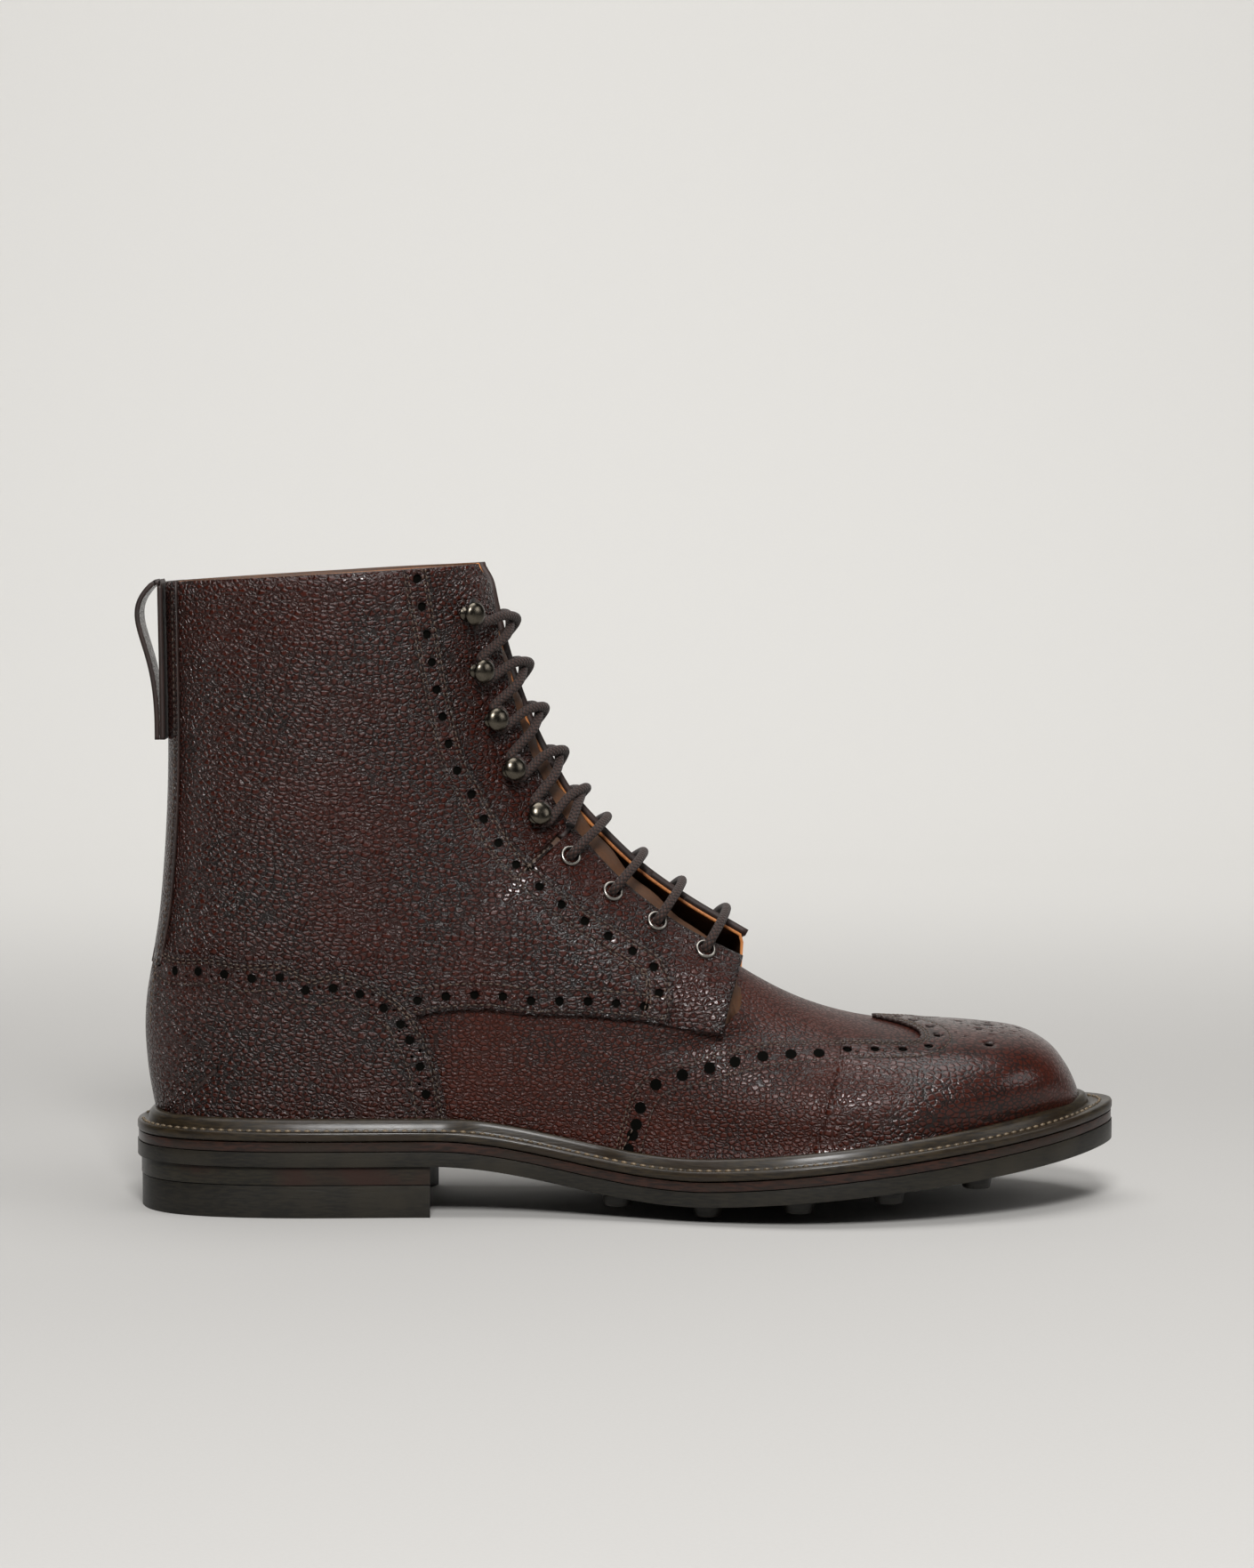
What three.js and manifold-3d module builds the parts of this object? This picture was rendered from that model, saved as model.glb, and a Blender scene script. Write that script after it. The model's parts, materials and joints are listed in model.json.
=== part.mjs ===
// A right-foot brogue derby boot, standing empty on its sole.
// Millimetres, +X to the toe, +Y to the inner side, +Z up, origin at the middle of the heel's rest face.
import * as THREE from "three";
import { mergeVertices } from "three/addons/utils/BufferGeometryUtils.js";
import Module from "manifold-3d";

const wasm = await Module();
wasm.setup();

// Main sizes
const soleLength = 313;
const ballWidth = 110;
const upperHeight = 181; // from the heel seat to the front of the collar
const heelCentre = 44; // from the back of the sole to the origin
const clearance = 0.3;
const facetRoom = 0.4; // further room where flat facets of two pieces don't match
const finest = 0.03; // detail smaller than this is dropped from a solid

// Heel and sole layers
const heelHeight = 16.3;
const heelLength = 95;
const heelInset = 1.2;
const breastHollow = 7;
const topPieceThickness = 10.2;
const studHeight = 3.3;
const studRadius = 5;
const studTaper = 0.86;
const studRowX = 182; // a row of studs stands here, under the ball
const studPitch = 28.15;
const studSpread = 17;
const studFreeToe = 20;
const outsoleThickness = 4.6;
const midsoleThickness = 2.8;
const toeBuildUp = 1.5;
const toeSpring = 16.3;
const soleCrown = 3.2;
const archStart = heelLength;
const treadLow = 180;

// Welt, a flat ledge with a rib that hugs the upper
const weltThickness = 3.2;
const weltWidth = 8;
const ribHeight = 3.7;
const ribThickness = 2.4;

// Leathers
const wall = 2.2;
const facingLeather = 1;
const quarterLeather = 0.9;
const capLeather = 1.2;
const stiffLeather = 2.6; // counter and backstay
const tongueLeather = 2.4;
const insoleThickness = 3;
const backstayWidth = 22;
const strapThickness = 1.7;
const strapWidth = 15;
const loopReach = 5.6;
const loopHeight = 50;

// How the grids and joins behave
const endCrowding = 0.35; // rows of a sole plate crowd at heel and toe
const breastCrowding = 1.3;
const weltCrowding = 0.3;
const insoleRoom = 3.2; // between the insole's edge and the lining
const ribCapFrom = 0.47; // along the sole, the rib swells round the cap's wings
const ribCapTo = 0.5;
const ribEase = 0.04;
const liftFullTurn = 0.12;
const liftNoneTurn = 0.46;
const stationRun = 4.5; // millimetres of height that count as one station
const capTail = 4.5; // stations

// Throat and lacing
const throatHalf = 8.5; // at the front
const throatHalfTop = 6;
const throatMiddle = -1;
const collarCorner = 6; // rounding of the facings' top corner
const facingLift = 10.5;
const tongueHalf = 25;
const eyeletBore = 2.2;
const eyeletBarrel = 0.4;
const eyeletFlange = 3.4;
const flangeThickness = 0.7;
const hookRadius = 3.75;
const hookNeck = 1.3;
const hookNeckHeight = 4.4;
const hookDome = 2.2;
const laceRadius = 1.5;
const lacingTurn = 0.17; // eyelets and hooks, round the section from the crest

// Named columns from rows
function table(names, rows) {
  return Object.fromEntries(names.map((name, k) => [name, rows.map((row) => row[k])]));
}

// The sole seen from above: shares of soleLength, of ballWidth, and of weltWidth for the inset of the upper
const plan = table(["x", "lateral", "medial", "inset"], [
  [0.000, 0.000, 0.000, 1.16],
  [0.016, -0.168, 0.168, 1.08],
  [0.064, -0.275, 0.275, 0.98],
  [0.153, -0.322, 0.318, 0.90],
  [0.294, -0.314, 0.295, 0.82],
  [0.400, -0.314, 0.277, 0.79],
  [0.495, -0.364, 0.305, 0.85],
  [0.588, -0.445, 0.395, 1.00],
  [0.675, -0.491, 0.480, 1.08],
  [0.765, -0.468, 0.514, 1.10],
  [0.855, -0.380, 0.465, 1.16],
  [0.930, -0.240, 0.360, 1.28],
  [0.980, -0.075, 0.225, 1.42],
  [1.000, 0.075, 0.075, 1.52],
]);

// Sections of the upper, one row for each plane of a fan that turns from the toe to the collar.
// foot: where the plane meets the sole, as a share of the feather line's length
// back, rise: the same end on the back line, as shares of soleLength and upperHeight
// x, z: the crest, as shares of soleLength from the rear and of upperHeight above the bed
// centre: sideways place of the crest, as a share of ballWidth; widest: how far up the plane it is widest
// lateral, medial: half widths as shares of the half width of the feather line
// crest, heel: roundness of the upper and lower arc; lift: share of facingLift
const sections = table(
  ["foot", "back", "rise", "x", "z", "centre", "widest", "lateral", "medial", "crest", "heel", "lift"], [
    [0.9966, 0, 0, 0.961, 0.012, 0.075, 0.40, 0.90, 0.90, 2.3, 2.2, 0],
    [0.989, 0, 0, 0.960, 0.038, 0.075, 0.40, 0.95, 0.95, 2.3, 2.2, 0],
    [0.973, 0, 0, 0.956, 0.061, 0.075, 0.39, 0.97, 0.97, 2.3, 2.2, 0],
    [0.953, 0, 0, 0.947, 0.094, 0.075, 0.38, 0.98, 0.98, 2.35, 2.2, 0],
    [0.923, 0, 0, 0.931, 0.132, 0.07, 0.36, 0.99, 0.99, 2.35, 2.2, 0],
    [0.884, 0, 0, 0.903, 0.165, 0.07, 0.33, 1.00, 1.00, 2.35, 2.2, 0],
    [0.834, 0, 0, 0.856, 0.190, 0.07, 0.31, 1.01, 1.01, 2.3, 2.2, 0],
    [0.776, 0, 0, 0.796, 0.214, 0.07, 0.29, 1.03, 1.01, 2.2, 2.2, 0],
    [0.711, 0, 0, 0.735, 0.243, 0.065, 0.28, 1.05, 1.01, 2.1, 2.2, 0],
    [0.640, 0, 0, 0.682, 0.281, 0.06, 0.28, 1.08, 1.02, 2.0, 2.2, 0.9],
    [0.565, 0, 0, 0.634, 0.329, 0.055, 0.30, 1.14, 1.06, 1.95, 2.2, 1],
    [0.479, 0, 0, 0.588, 0.385, 0.05, 0.33, 1.27, 1.20, 1.9, 2.2, 0.92],
    [0.383, 0, 0, 0.541, 0.443, 0.045, 0.36, 1.32, 1.28, 1.9, 2.3, 0.76],
    [0.280, 0, 0, 0.500, 0.498, 0.04, 0.39, 1.26, 1.25, 1.9, 2.3, 0.58],
    [0.174, 0, 0, 0.465, 0.557, 0.035, 0.41, 1.19, 1.19, 1.9, 2.3, 0.42],
    [0.081, 0, 0, 0.438, 0.617, 0.03, 0.42, 1.16, 1.16, 1.9, 2.2, 0.22],
    [0.021, 0, 0, 0.422, 0.670, 0.025, 0.43, 1.14, 1.14, 1.9, 2.1, 0.12],
    [0, 0, 0, 0.410, 0.712, 0.02, 0.43, 1.12, 1.12, 1.9, 2.0, 0.08],
    [0, -0.011, 0.109, 0.399, 0.755, 0.015, 0.43, 1.10, 1.10, 1.9, 1.95, 0.08],
    [0, -0.012, 0.219, 0.389, 0.802, 0.01, 0.44, 1.08, 1.08, 1.9, 1.9, 0.08],
    [0, 0.004, 0.385, 0.377, 0.861, 0.01, 0.46, 1.10, 1.10, 1.95, 1.8, 0.08],
    [0, 0.013, 0.628, 0.367, 0.927, 0.005, 0.50, 1.15, 1.15, 2.0, 1.7, 0.08],
    [0, 0.0115, 0.957, 0.358, 1.003, 0, 0.55, 1.20, 1.20, 2.0, 1.6, 0.08],
  ]);
const collarStation = sections.foot.length - 1;
const heelStation = 17; // the first section that ends on the back line
const throatStation = 10.6; // the front end of the throat
const facingSlant = 1.6; // stations that the facings' front edge gains for a whole turn
const facingRamp = 0.3;
const tongueTop = 21.6;

// Seams seen from the side: shares of soleLength from the rear and of upperHeight above the bed
const wingLine = table(["x", "z"], [
  [0.485, -0.05], [0.490, 0.08], [0.505, 0.155], [0.532, 0.200], [0.583, 0.230], [0.637, 0.236],
  [0.695, 0.225], [0.735, 0.214], [0.790, 0.200], [0.860, 0.190],
]);
const wingPeakStation = 7.7;
const wingValleyStation = 7.0;
const wingValley = 0.12;
const lowerLine = table(["x", "z"], [
  [0.200, 0.215], [0.308, 0.222], [0.361, 0.235], [0.409, 0.240], [0.456, 0.258], [0.518, 0.269],
  [0.567, 0.262], [0.603, 0.254], [0.680, 0.250],
]);
const counterLine = table(["x", "z"], [
  [-0.020, 0.330], [0.037, 0.327], [0.082, 0.320], [0.124, 0.312], [0.164, 0.309], [0.204, 0.296],
  [0.243, 0.281], [0.274, 0.248], [0.293, 0.208], [0.307, 0.160], [0.316, 0.100],
  [0.321, 0.040], [0.324, -0.05],
]);
const counterFront = 0.324;
const brogueEdge = table(["station", "turn"], [
  [10.9, 0.60], [11.12, 0.34], [11.34, 0.27], [11.55, 0.243], [12.0, 0.225], [14.0, 0.227], [17.0, 0.222],
  [18.0, 0.232], [19.4, 0.242], [20.8, 0.266], [22.0, 0.295],
]);

function mix(a, b, share) {
  return a + (b - a) * share;
}

function smooth(from, to, value) {
  const share = Math.min(1, Math.max(0, (value - from) / (to - from)));
  return share * share * (3 - 2 * share);
}

// A smooth curve through evenly numbered values
function through(values, place, before, after) {
  const last = values.length - 1;
  const k = Math.min(last - 1, Math.max(0, Math.floor(place)));
  const f = Math.min(1, Math.max(0, place - k));
  const b = values[k];
  const c = values[k + 1];
  const a = k > 0 ? values[k - 1] : before ?? 2 * b - c;
  const d = k + 2 <= last ? values[k + 2] : after ?? 2 * c - b;
  const bend = (2 * a - 5 * b + 4 * c - d) * f * f + (3 * b - a - 3 * c + d) * f * f * f;
  return b + ((c - a) * f + bend) / 2;
}

// A height read off a line of points with rising x
function readLine(xs, zs, x) {
  let k = 0;
  while (k < xs.length - 2 && x > xs[k + 1]) k++;
  const share = (x - xs[k]) / (xs[k + 1] - xs[k]);
  return mix(zs[k], zs[k + 1], Math.min(1, Math.max(0, share)));
}

// A root of a falling function between two places
function solve(from, to, f) {
  let low = from;
  let high = to;
  for (let k = 0; k < 24; k++) {
    const middle = (low + high) / 2;
    if (f(middle) > 0) low = middle;
    else high = middle;
  }
  return (low + high) / 2;
}

// Underside of the sole without studs, x from the rear
function soleUnder(x, y) {
  const arch = 1 - smooth(archStart, treadLow, x);
  const spring = Math.max(0, (x - treadLow) / (soleLength - treadLow)) ** 1.6;
  const crown = soleCrown * smooth(archStart, treadLow, x) * (2 * y / ballWidth) ** 2;
  return studHeight + (heelHeight - studHeight) * arch + toeSpring * spring + crown;
}

function outsoleTop(x, y) {
  return soleUnder(x, y) + outsoleThickness + toeBuildUp * smooth(treadLow, soleLength, x);
}

function midsoleLow(x, y) {
  return outsoleTop(x, y) + clearance;
}

function midsoleTop(x, y) {
  return midsoleLow(x, y) + midsoleThickness;
}

// What stands on the midsole starts here
function bed(x, y) {
  return midsoleTop(x, y) + clearance;
}

// A point of the sole's edge, moved in by a share of the table's inset and by a length
function edgePoint(side, place, inset = 0, extra = 0) {
  const own = side < 0 ? plan.lateral : plan.medial;
  const other = side < 0 ? plan.medial : plan.lateral;
  const last = plan.x.length - 1;
  const at = (u) => [
    soleLength * through(plan.x, u, plan.x[1], plan.x[last - 1]),
    ballWidth * through(own, u, other[1], other[last - 1]),
  ];
  const step = 0.01;
  const [x, y] = at(place);
  const [x0, y0] = place > step ? at(place - step) : [x, y - side * step];
  const [x1, y1] = place < last - step ? at(place + step) : [x, y - side * step];
  const back = place <= step ? [0, side] : null;
  const dx = back ? 0 : x1 - x0;
  const dy = back ? side : y1 - y0;
  const length = Math.hypot(dx, dy);
  const move = inset * weltWidth * through(plan.inset, place, plan.inset[1], plan.inset[last - 1]) + extra;
  return [x + side * dy / length * move, y - side * dx / length * move];
}

const planLast = plan.x.length - 1;

// Half of the feather line as two lists, from the rear to the toe
function featherSide(side) {
  const steps = 260;
  const points = Array.from({ length: steps + 1 }, (_, k) => edgePoint(side, planLast * k / steps, 1));
  return points;
}
const feather = { lateral: featherSide(-1), medial: featherSide(1) };
const featherRear = feather.lateral[0][0];
const featherToe = feather.lateral.at(-1)[0];

function featherY(points, x) {
  let low = 0;
  let high = points.length - 1;
  while (high - low > 1) {
    const middle = (low + high) >> 1;
    if (points[middle][0] < x) low = middle;
    else high = middle;
  }
  const [x0, y0] = points[low];
  const [x1, y1] = points[high];
  const share = x1 > x0 ? Math.min(1, Math.max(0, (x - x0) / (x1 - x0))) : 0;
  return mix(y0, y1, share);
}

// One section of the upper by its station
const known = new Map();
function section(station) {
  if (known.has(station)) return known.get(station);
  const read = (name) => through(sections[name], station);
  const share = Math.max(0, station >= heelStation ? 0 : read("foot"));
  const footX = featherRear + share * (featherToe - featherRear);
  const rise = station > heelStation ? Math.max(0, read("rise")) : 0;
  const backX = station > heelStation ? read("back") * soleLength : 0;
  const lateral = featherY(feather.lateral, footX);
  const medial = featherY(feather.medial, footX);
  const x = read("x") * soleLength;
  const wide = Math.max(footX, heelCentre);
  const half = (featherY(feather.medial, wide) - featherY(feather.lateral, wide)) / 2;
  const found = {
    foot: [footX + backX, bed(footX, 0) + clearance + 2 * facetRoom + rise * upperHeight],
    crest: [x, bed(x, 0) + read("z") * upperHeight],
    footHalf: station >= heelStation ? 0 : (medial - lateral) / 2,
    footCentre: station >= heelStation ? 0 : (medial + lateral) / 2,
    centre: read("centre") * ballWidth,
    widest: read("widest"),
    lateral: read("lateral") * half,
    medial: read("medial") * half,
    crestRound: read("crest"),
    heelRound: read("heel"),
    lift: read("lift") * facingLift,
  };
  known.set(station, found);
  return found;
}

// A point of the bare last: station from toe to collar, turn from -1 at the lateral foot to 1 at the medial foot
function lastPoint(station, turn) {
  const s = section(station);
  const side = turn < 0 ? -1 : 1;
  const angle = Math.min(1, Math.abs(turn)) * Math.PI;
  const reach = side < 0 ? s.lateral : s.medial;
  const sine = Math.sin(angle);
  const cosine = Math.abs(Math.cos(angle));
  let up = 0;
  let y = 0;
  if (Math.abs(turn) <= 0.5) {
    up = s.widest + (1 - s.widest) * cosine ** (2 / s.crestRound);
    y = s.centre + side * reach * sine ** (2 / s.crestRound);
  } else {
    const out = sine * sine;
    up = s.widest * (1 - cosine ** (2 / s.heelRound));
    const wide = Math.sqrt(s.footHalf ** 2 + (reach ** 2 - s.footHalf ** 2) * out);
    y = mix(s.footCentre, s.centre, out) + side * wide;
  }
  const x = mix(s.foot[0], s.crest[0], up);
  const crown = soleUnder(x, y) - soleUnder(x, 0);
  const z = mix(s.foot[1], s.crest[1], up) + crown * (1 - up) ** 4;
  return new THREE.Vector3(x, y, z);
}

// The outward direction of a surface given as a function of station and turn
function outward(surface, station, turn) {
  const step = 0.004;
  const closed = station >= heelStation;
  const wrap = (t) => (closed && Math.abs(t) > 1 ? t - 2 * Math.sign(t) : Math.min(1, Math.max(-1, t)));
  const s0 = Math.max(0, station - step);
  const s1 = Math.min(collarStation, station + step);
  const around = surface(station, wrap(turn + step)).sub(surface(station, wrap(turn - step)));
  const along = surface(s1, turn).sub(surface(s0, turn));
  const normal = around.cross(along).normalize();
  if (!closed) {
    normal.z *= 1 - smooth(0.9, 1, Math.abs(turn));
    normal.normalize();
  }
  return normal;
}

function facingFront(turn) {
  return throatStation - facingSlant * Math.max(0, Math.abs(turn) - 0.1);
}

// How far the facings stand off the tongue
function liftAt(station, turn) {
  const front = facingFront(turn);
  const share = smooth(front - facingRamp, front, station);
  return section(station).lift * share * (1 - smooth(liftFullTurn, liftNoneTurn, Math.abs(turn)));
}

// The outer face of the upper, with the facings lifted off the tongue
function upperPoint(station, turn) {
  const point = lastPoint(station, turn);
  const height = liftAt(station, turn);
  if (height < 0.01) return point;
  return point.addScaledVector(outward(lastPoint, station, turn), height);
}

// Where a station's arc is at a sideways place, near the crest or near the back
function turnAtY(station, y, near) {
  const side = y < section(station).centre && near === "crest" ? -1 : Math.sign(y) || 1;
  const from = near === "crest" ? 0 : side;
  const to = side * 0.5;
  return solve(from, to, (turn) => side * (y - lastPoint(station, turn).y));
}

// A sheet of triangles over stations and turns
function sheet(stations, turns) {
  const places = [];
  for (const station of stations) {
    for (const turn of turns) places.push([station, turn]);
  }
  const triangles = [];
  for (let i = 0; i < stations.length - 1; i++) {
    for (let j = 0; j < turns.length - 1; j++) {
      const a = i * turns.length + j;
      const b = a + turns.length;
      triangles.push([a, a + 1, b + 1], [a, b + 1, b]);
    }
  }
  return { places, triangles };
}

// The part of a sheet where a measure is above zero, cut along the line where it is zero
function keep(old, measure) {
  const places = old.places.slice();
  const values = places.map(([station, turn]) => measure(station, turn));
  const cuts = new Map();
  const cutBetween = (i, j) => {
    const [a, b] = i < j ? [i, j] : [j, i];
    const key = `${a} ${b}`;
    if (cuts.has(key)) return cuts.get(key);
    const [inside, outside] = values[a] > 0 ? [a, b] : [b, a];
    const at = (share) => [0, 1].map((k) => mix(old.places[inside][k], old.places[outside][k], share));
    const share = solve(0, 1, (value) => measure(...at(value)));
    let place = 0;
    if (share < 0.06) place = inside;
    else if (share > 0.94) place = outside;
    else place = places.push(at(share)) - 1;
    cuts.set(key, place);
    return place;
  };
  const triangles = [];
  for (const triangle of old.triangles) {
    const ring = [];
    triangle.forEach((corner, k) => {
      const next = triangle[(k + 1) % 3];
      if (values[corner] > 0) ring.push(corner);
      if (values[corner] > 0 !== values[next] > 0) ring.push(cutBetween(corner, next));
    });
    const corners = ring.filter((corner, k) => corner !== ring[(k + 1) % ring.length]);
    for (let k = 1; k + 1 < corners.length; k++) triangles.push([corners[0], corners[k], corners[k + 1]]);
  }
  return { places, triangles };
}

// A closed solid from a sheet's outer and inner points
function close(outer, inner, triangles) {
  const names = new Map();
  const points = [];
  const number = outer.map((point, k) => {
    const key = [point.x, point.y, point.z].map((v) => Math.round(v * 2000)).join(" ");
    if (!names.has(key)) {
      names.set(key, points.length / 2);
      points.push(point, inner[k]);
    }
    return names.get(key);
  });
  const used = triangles
    .map((triangle) => triangle.map((corner) => number[corner]))
    .filter(([a, b, c]) => a !== b && b !== c && c !== a);
  const edges = new Set();
  for (const [a, b, c] of used) [[a, b], [b, c], [c, a]].forEach(([p, q]) => edges.add(`${p} ${q}`));
  const faces = [];
  for (const [a, b, c] of used) {
    faces.push([2 * a, 2 * b, 2 * c], [2 * a + 1, 2 * c + 1, 2 * b + 1]);
    for (const [p, q] of [[a, b], [b, c], [c, a]]) {
      if (edges.has(`${q} ${p}`)) continue;
      faces.push([2 * q, 2 * p, 2 * p + 1], [2 * q, 2 * p + 1, 2 * q + 1]);
    }
  }
  return toSolid(points.flatMap((p) => [p.x, p.y, p.z]), faces.flat());
}

function toSolid(positions, indices) {
  const geometry = new THREE.BufferGeometry();
  geometry.setAttribute("position", new THREE.Float32BufferAttribute(positions, 3));
  geometry.setIndex(indices);
  return solidOf(geometry);
}

function solidOf(geometry) {
  const bare = geometry.clone();
  bare.deleteAttribute("normal");
  bare.deleteAttribute("uv");
  const merged = mergeVertices(bare, 1e-4);
  const mesh = new wasm.Mesh({
    numProp: 3,
    vertProperties: new Float32Array(merged.attributes.position.array),
    triVerts: new Uint32Array(merged.index.array),
  });
  return new wasm.Manifold(mesh);
}

function joined(solids) {
  return solids.reduce((all, one) => all.add(one));
}

// A leather shell over a sheet, between two offsets from a surface
function leather(piece, surface, inner, outer) {
  const offset = (amount) => piece.places.map(([station, turn]) => {
    const reach = typeof amount === "function" ? amount(station, turn) : amount;
    const point = surface(station, turn);
    return point.addScaledVector(outward(surface, station, turn), reach);
  });
  return close(offset(outer), offset(inner), piece.triangles);
}

function heightOverBed(point) {
  return (point.z - bed(point.x, 0)) / upperHeight;
}

// How far a place on the upper lies above a seam line, in shares of upperHeight
function above(line, station, turn) {
  const point = upperPoint(station, turn);
  return heightOverBed(point) - readLine(line.x, line.z, point.x / soleLength);
}

// The upper's own grid
const upperStations = [];
for (let station = 0; station < collarStation - 0.5; station += station > 9 && station < 13 ? 0.5 : 1) {
  upperStations.push(station);
}
upperStations.push(collarStation - 0.4, collarStation);
const turnSteps = 18;
const upperTurns = Array.from({ length: turnSteps + 1 }, (_, k) => -1 + 2 * k / turnSteps);
const whole = sheet(upperStations, upperTurns);

function throatGap(station, turn) {
  const point = lastPoint(station, turn);
  const behind = Math.abs(turn) < 0.5 ? 0 : ballWidth;
  const corner = collarCorner * smooth(collarStation - 0.7, collarStation, station) ** 2;
  const half = mix(throatHalf, throatHalfTop, smooth(throatStation + 1, throatStation + 5, station));
  return Math.abs(point.y - throatMiddle) + behind - half - corner;
}

// Seen from the crest: station of the wing's edge over the toe, a point in the middle with a notch each side
function wingCrest(turn) {
  const place = Math.abs(turn) / wingValley;
  return mix(wingPeakStation, wingValleyStation, Math.min(1, place));
}

function capInside(station, turn) {
  if (Math.abs(turn) < wingValley) return wingCrest(turn) - station;
  const under = -above(wingLine, station, turn) * upperHeight / stationRun;
  return Math.min(under, wingPeakStation + capTail - station);
}

function ribTop(x) {
  return bed(x, 0) + weltThickness + ribHeight;
}

function overRib(station, turn) {
  const point = upperPoint(station, turn);
  const crown = soleUnder(point.x, point.y) - soleUnder(point.x, 0);
  return point.z - ribTop(point.x) - crown - 2 * clearance - 3 * facetRoom;
}

function counterInside(station, turn) {
  const point = upperPoint(station, turn);
  if (point.x > counterFront * soleLength) return -1;
  return -above(counterLine, station, turn) * upperHeight;
}

function backstayInside(station, turn, grow = 0) {
  const point = upperPoint(station, turn);
  if (Math.abs(turn) < 0.5) return -1;
  return backstayWidth / 2 + grow - Math.abs(point.y);
}

// Facing and quarter, one raised step over the vamp
let facing = keep(whole, (station, turn) => station - facingFront(turn));
facing = keep(facing, throatGap);
facing = keep(facing, (station, turn) => above(lowerLine, station, turn));
facing = keep(facing, (station, turn) => -counterInside(station, turn) - clearance - facetRoom);
facing = keep(facing, (station, turn) => -backstayInside(station, turn, clearance + 2 * facetRoom));

// The quarter lies over the facing, behind the punched edge
function behindBrogue(station, turn) {
  return Math.abs(turn) - readLine(brogueEdge.station, brogueEdge.turn, station);
}
const quarter = keep(facing, behindBrogue);

function eyeletFrame(station, side) {
  const turn = side * (lacingTurn + hookSpread * smooth(18, collarStation, station));
  const point = upperPoint(station, turn);
  const normal = outward(upperPoint, station, turn);
  const spin = new THREE.Quaternion().setFromUnitVectors(new THREE.Vector3(0, 1, 0), normal);
  point.addScaledVector(normal, facingLeather);
  return { point, normal, spin };
}

const eyeletStations = [11.18, 12.15, 13.1, 14.12];
const hookStations = [15.28, 17.05, 18.75, 20.05, 21.2];
const hookSpread = 0.035; // how much further back the top hook sits
const sides = [-1, 1];

function eyeletCutter(station, side) {
  const { point, normal, spin } = eyeletFrame(station, side);
  const radius = eyeletBore + eyeletBarrel + clearance;
  const length = 4 * wall;
  const cutter = new THREE.CylinderGeometry(radius, radius, length, 10);
  cutter.applyQuaternion(spin);
  cutter.translate(...point.clone().addScaledVector(normal, -wall).toArray());
  return solidOf(cutter);
}

function makeUpper() {
  const open = (s, t) => Math.max(throatGap(s, t), throatStation - facingRamp - s);
  const bare = leather(keep(whole, open), upperPoint, -wall, 0);
  const raised = leather(facing, upperPoint, -wall / 2, facingLeather);
  const quarters = leather(quarter, upperPoint, -wall / 3, facingLeather + quarterLeather);
  const holes = eyeletStations.flatMap((station) => sides.map((side) => eyeletCutter(station, side)));
  return joined([bare, raised, quarters]).subtract(joined(holes));
}

// The part of an overlay that stays above the welt's rib
function makeCap() {
  const piece = keep(keep(whole, capInside), overRib);
  return leather(piece, upperPoint, clearance, clearance + capLeather);
}

function makeCounter() {
  const piece = keep(keep(whole, counterInside), overRib);
  return leather(piece, upperPoint, clearance, clearance + stiffLeather);
}

function makeBackstay() {
  let piece = keep(whole, (s, t) => Math.min(backstayInside(s, t), s - heelStation));
  piece = keep(piece, (s, t) => -counterInside(s, t) - clearance - facetRoom);
  return leather(piece, upperPoint, clearance, clearance + stiffLeather);
}

function makeTongue() {
  const stations = [];
  for (let station = throatStation - 0.8; station < tongueTop; station += 1) stations.push(station);
  stations.push(tongueTop);
  const steps = 8;
  const base = sheet(stations, Array.from({ length: steps + 1 }, (_, k) => -1 + 2 * k / steps));
  const places = base.places.map(([station, share]) => {
    const edge = Math.sign(share) * tongueHalf + section(station).centre;
    const far = share === 0 ? 0 : turnAtY(station, edge, "crest");
    return [station, far * Math.abs(share)];
  });
  const under = (station, turn) => {
    const raised = liftAt(station, turn) * smooth(throatStation, throatStation + 1.2, station);
    return Math.min(-clearance, raised - wall - 2 * clearance - 3 * facetRoom);
  };
  const inner = (station, turn) => under(station, turn) - tongueLeather;
  return leather({ places, triangles: base.triangles }, lastPoint, inner, under);
}

// A plate between two heights over the sole's outline, from the rear to a place along it
function plate({ inset = 0, extra = 0, low, high, across = 4, rows = 24, endX = null, hollow = 0 }) {
  const cut = endX !== null;
  const count = cut ? Math.round(rows / 2) : rows;
  const lastPlace = cut ? solve(0, planLast, (u) => endX - edgePoint(-1, u, inset, extra)[0]) : planLast;
  const places = [];
  for (let k = 0; k <= count; k++) {
    const share = k / count;
    const eased = cut ? share ** breastCrowding : mix(share, (1 - Math.cos(Math.PI * share)) / 2, endCrowding);
    const a = edgePoint(-1, lastPlace * eased, inset, extra);
    const b = edgePoint(1, lastPlace * eased, inset, extra);
    for (let j = 0; j <= across; j++) {
      const over = j / across;
      const pull = hollow * (1 - (2 * over - 1) ** 2) * share ** 3;
      places.push([mix(a[0], b[0], over) - pull, mix(a[1], b[1], over)]);
    }
  }
  const triangles = [];
  for (let k = 0; k < count; k++) {
    for (let j = 0; j < across; j++) {
      const a = k * (across + 1) + j;
      const b = a + across + 1;
      triangles.push([a, b + 1, a + 1], [a, b, b + 1]);
    }
  }
  const at = (height) => places.map(([x, y]) => new THREE.Vector3(x, y, height(x, y)));
  return close(at(high), at(low), triangles);
}

function makeTopPiece() {
  const high = () => topPieceThickness;
  return plate({ extra: heelInset, low: () => 0, high, endX: heelLength, hollow: breastHollow });
}

function makeHeelLift() {
  const low = () => topPieceThickness + clearance;
  const high = () => heelHeight - clearance;
  return plate({ extra: heelInset, low, high, endX: heelLength, hollow: breastHollow });
}

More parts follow.
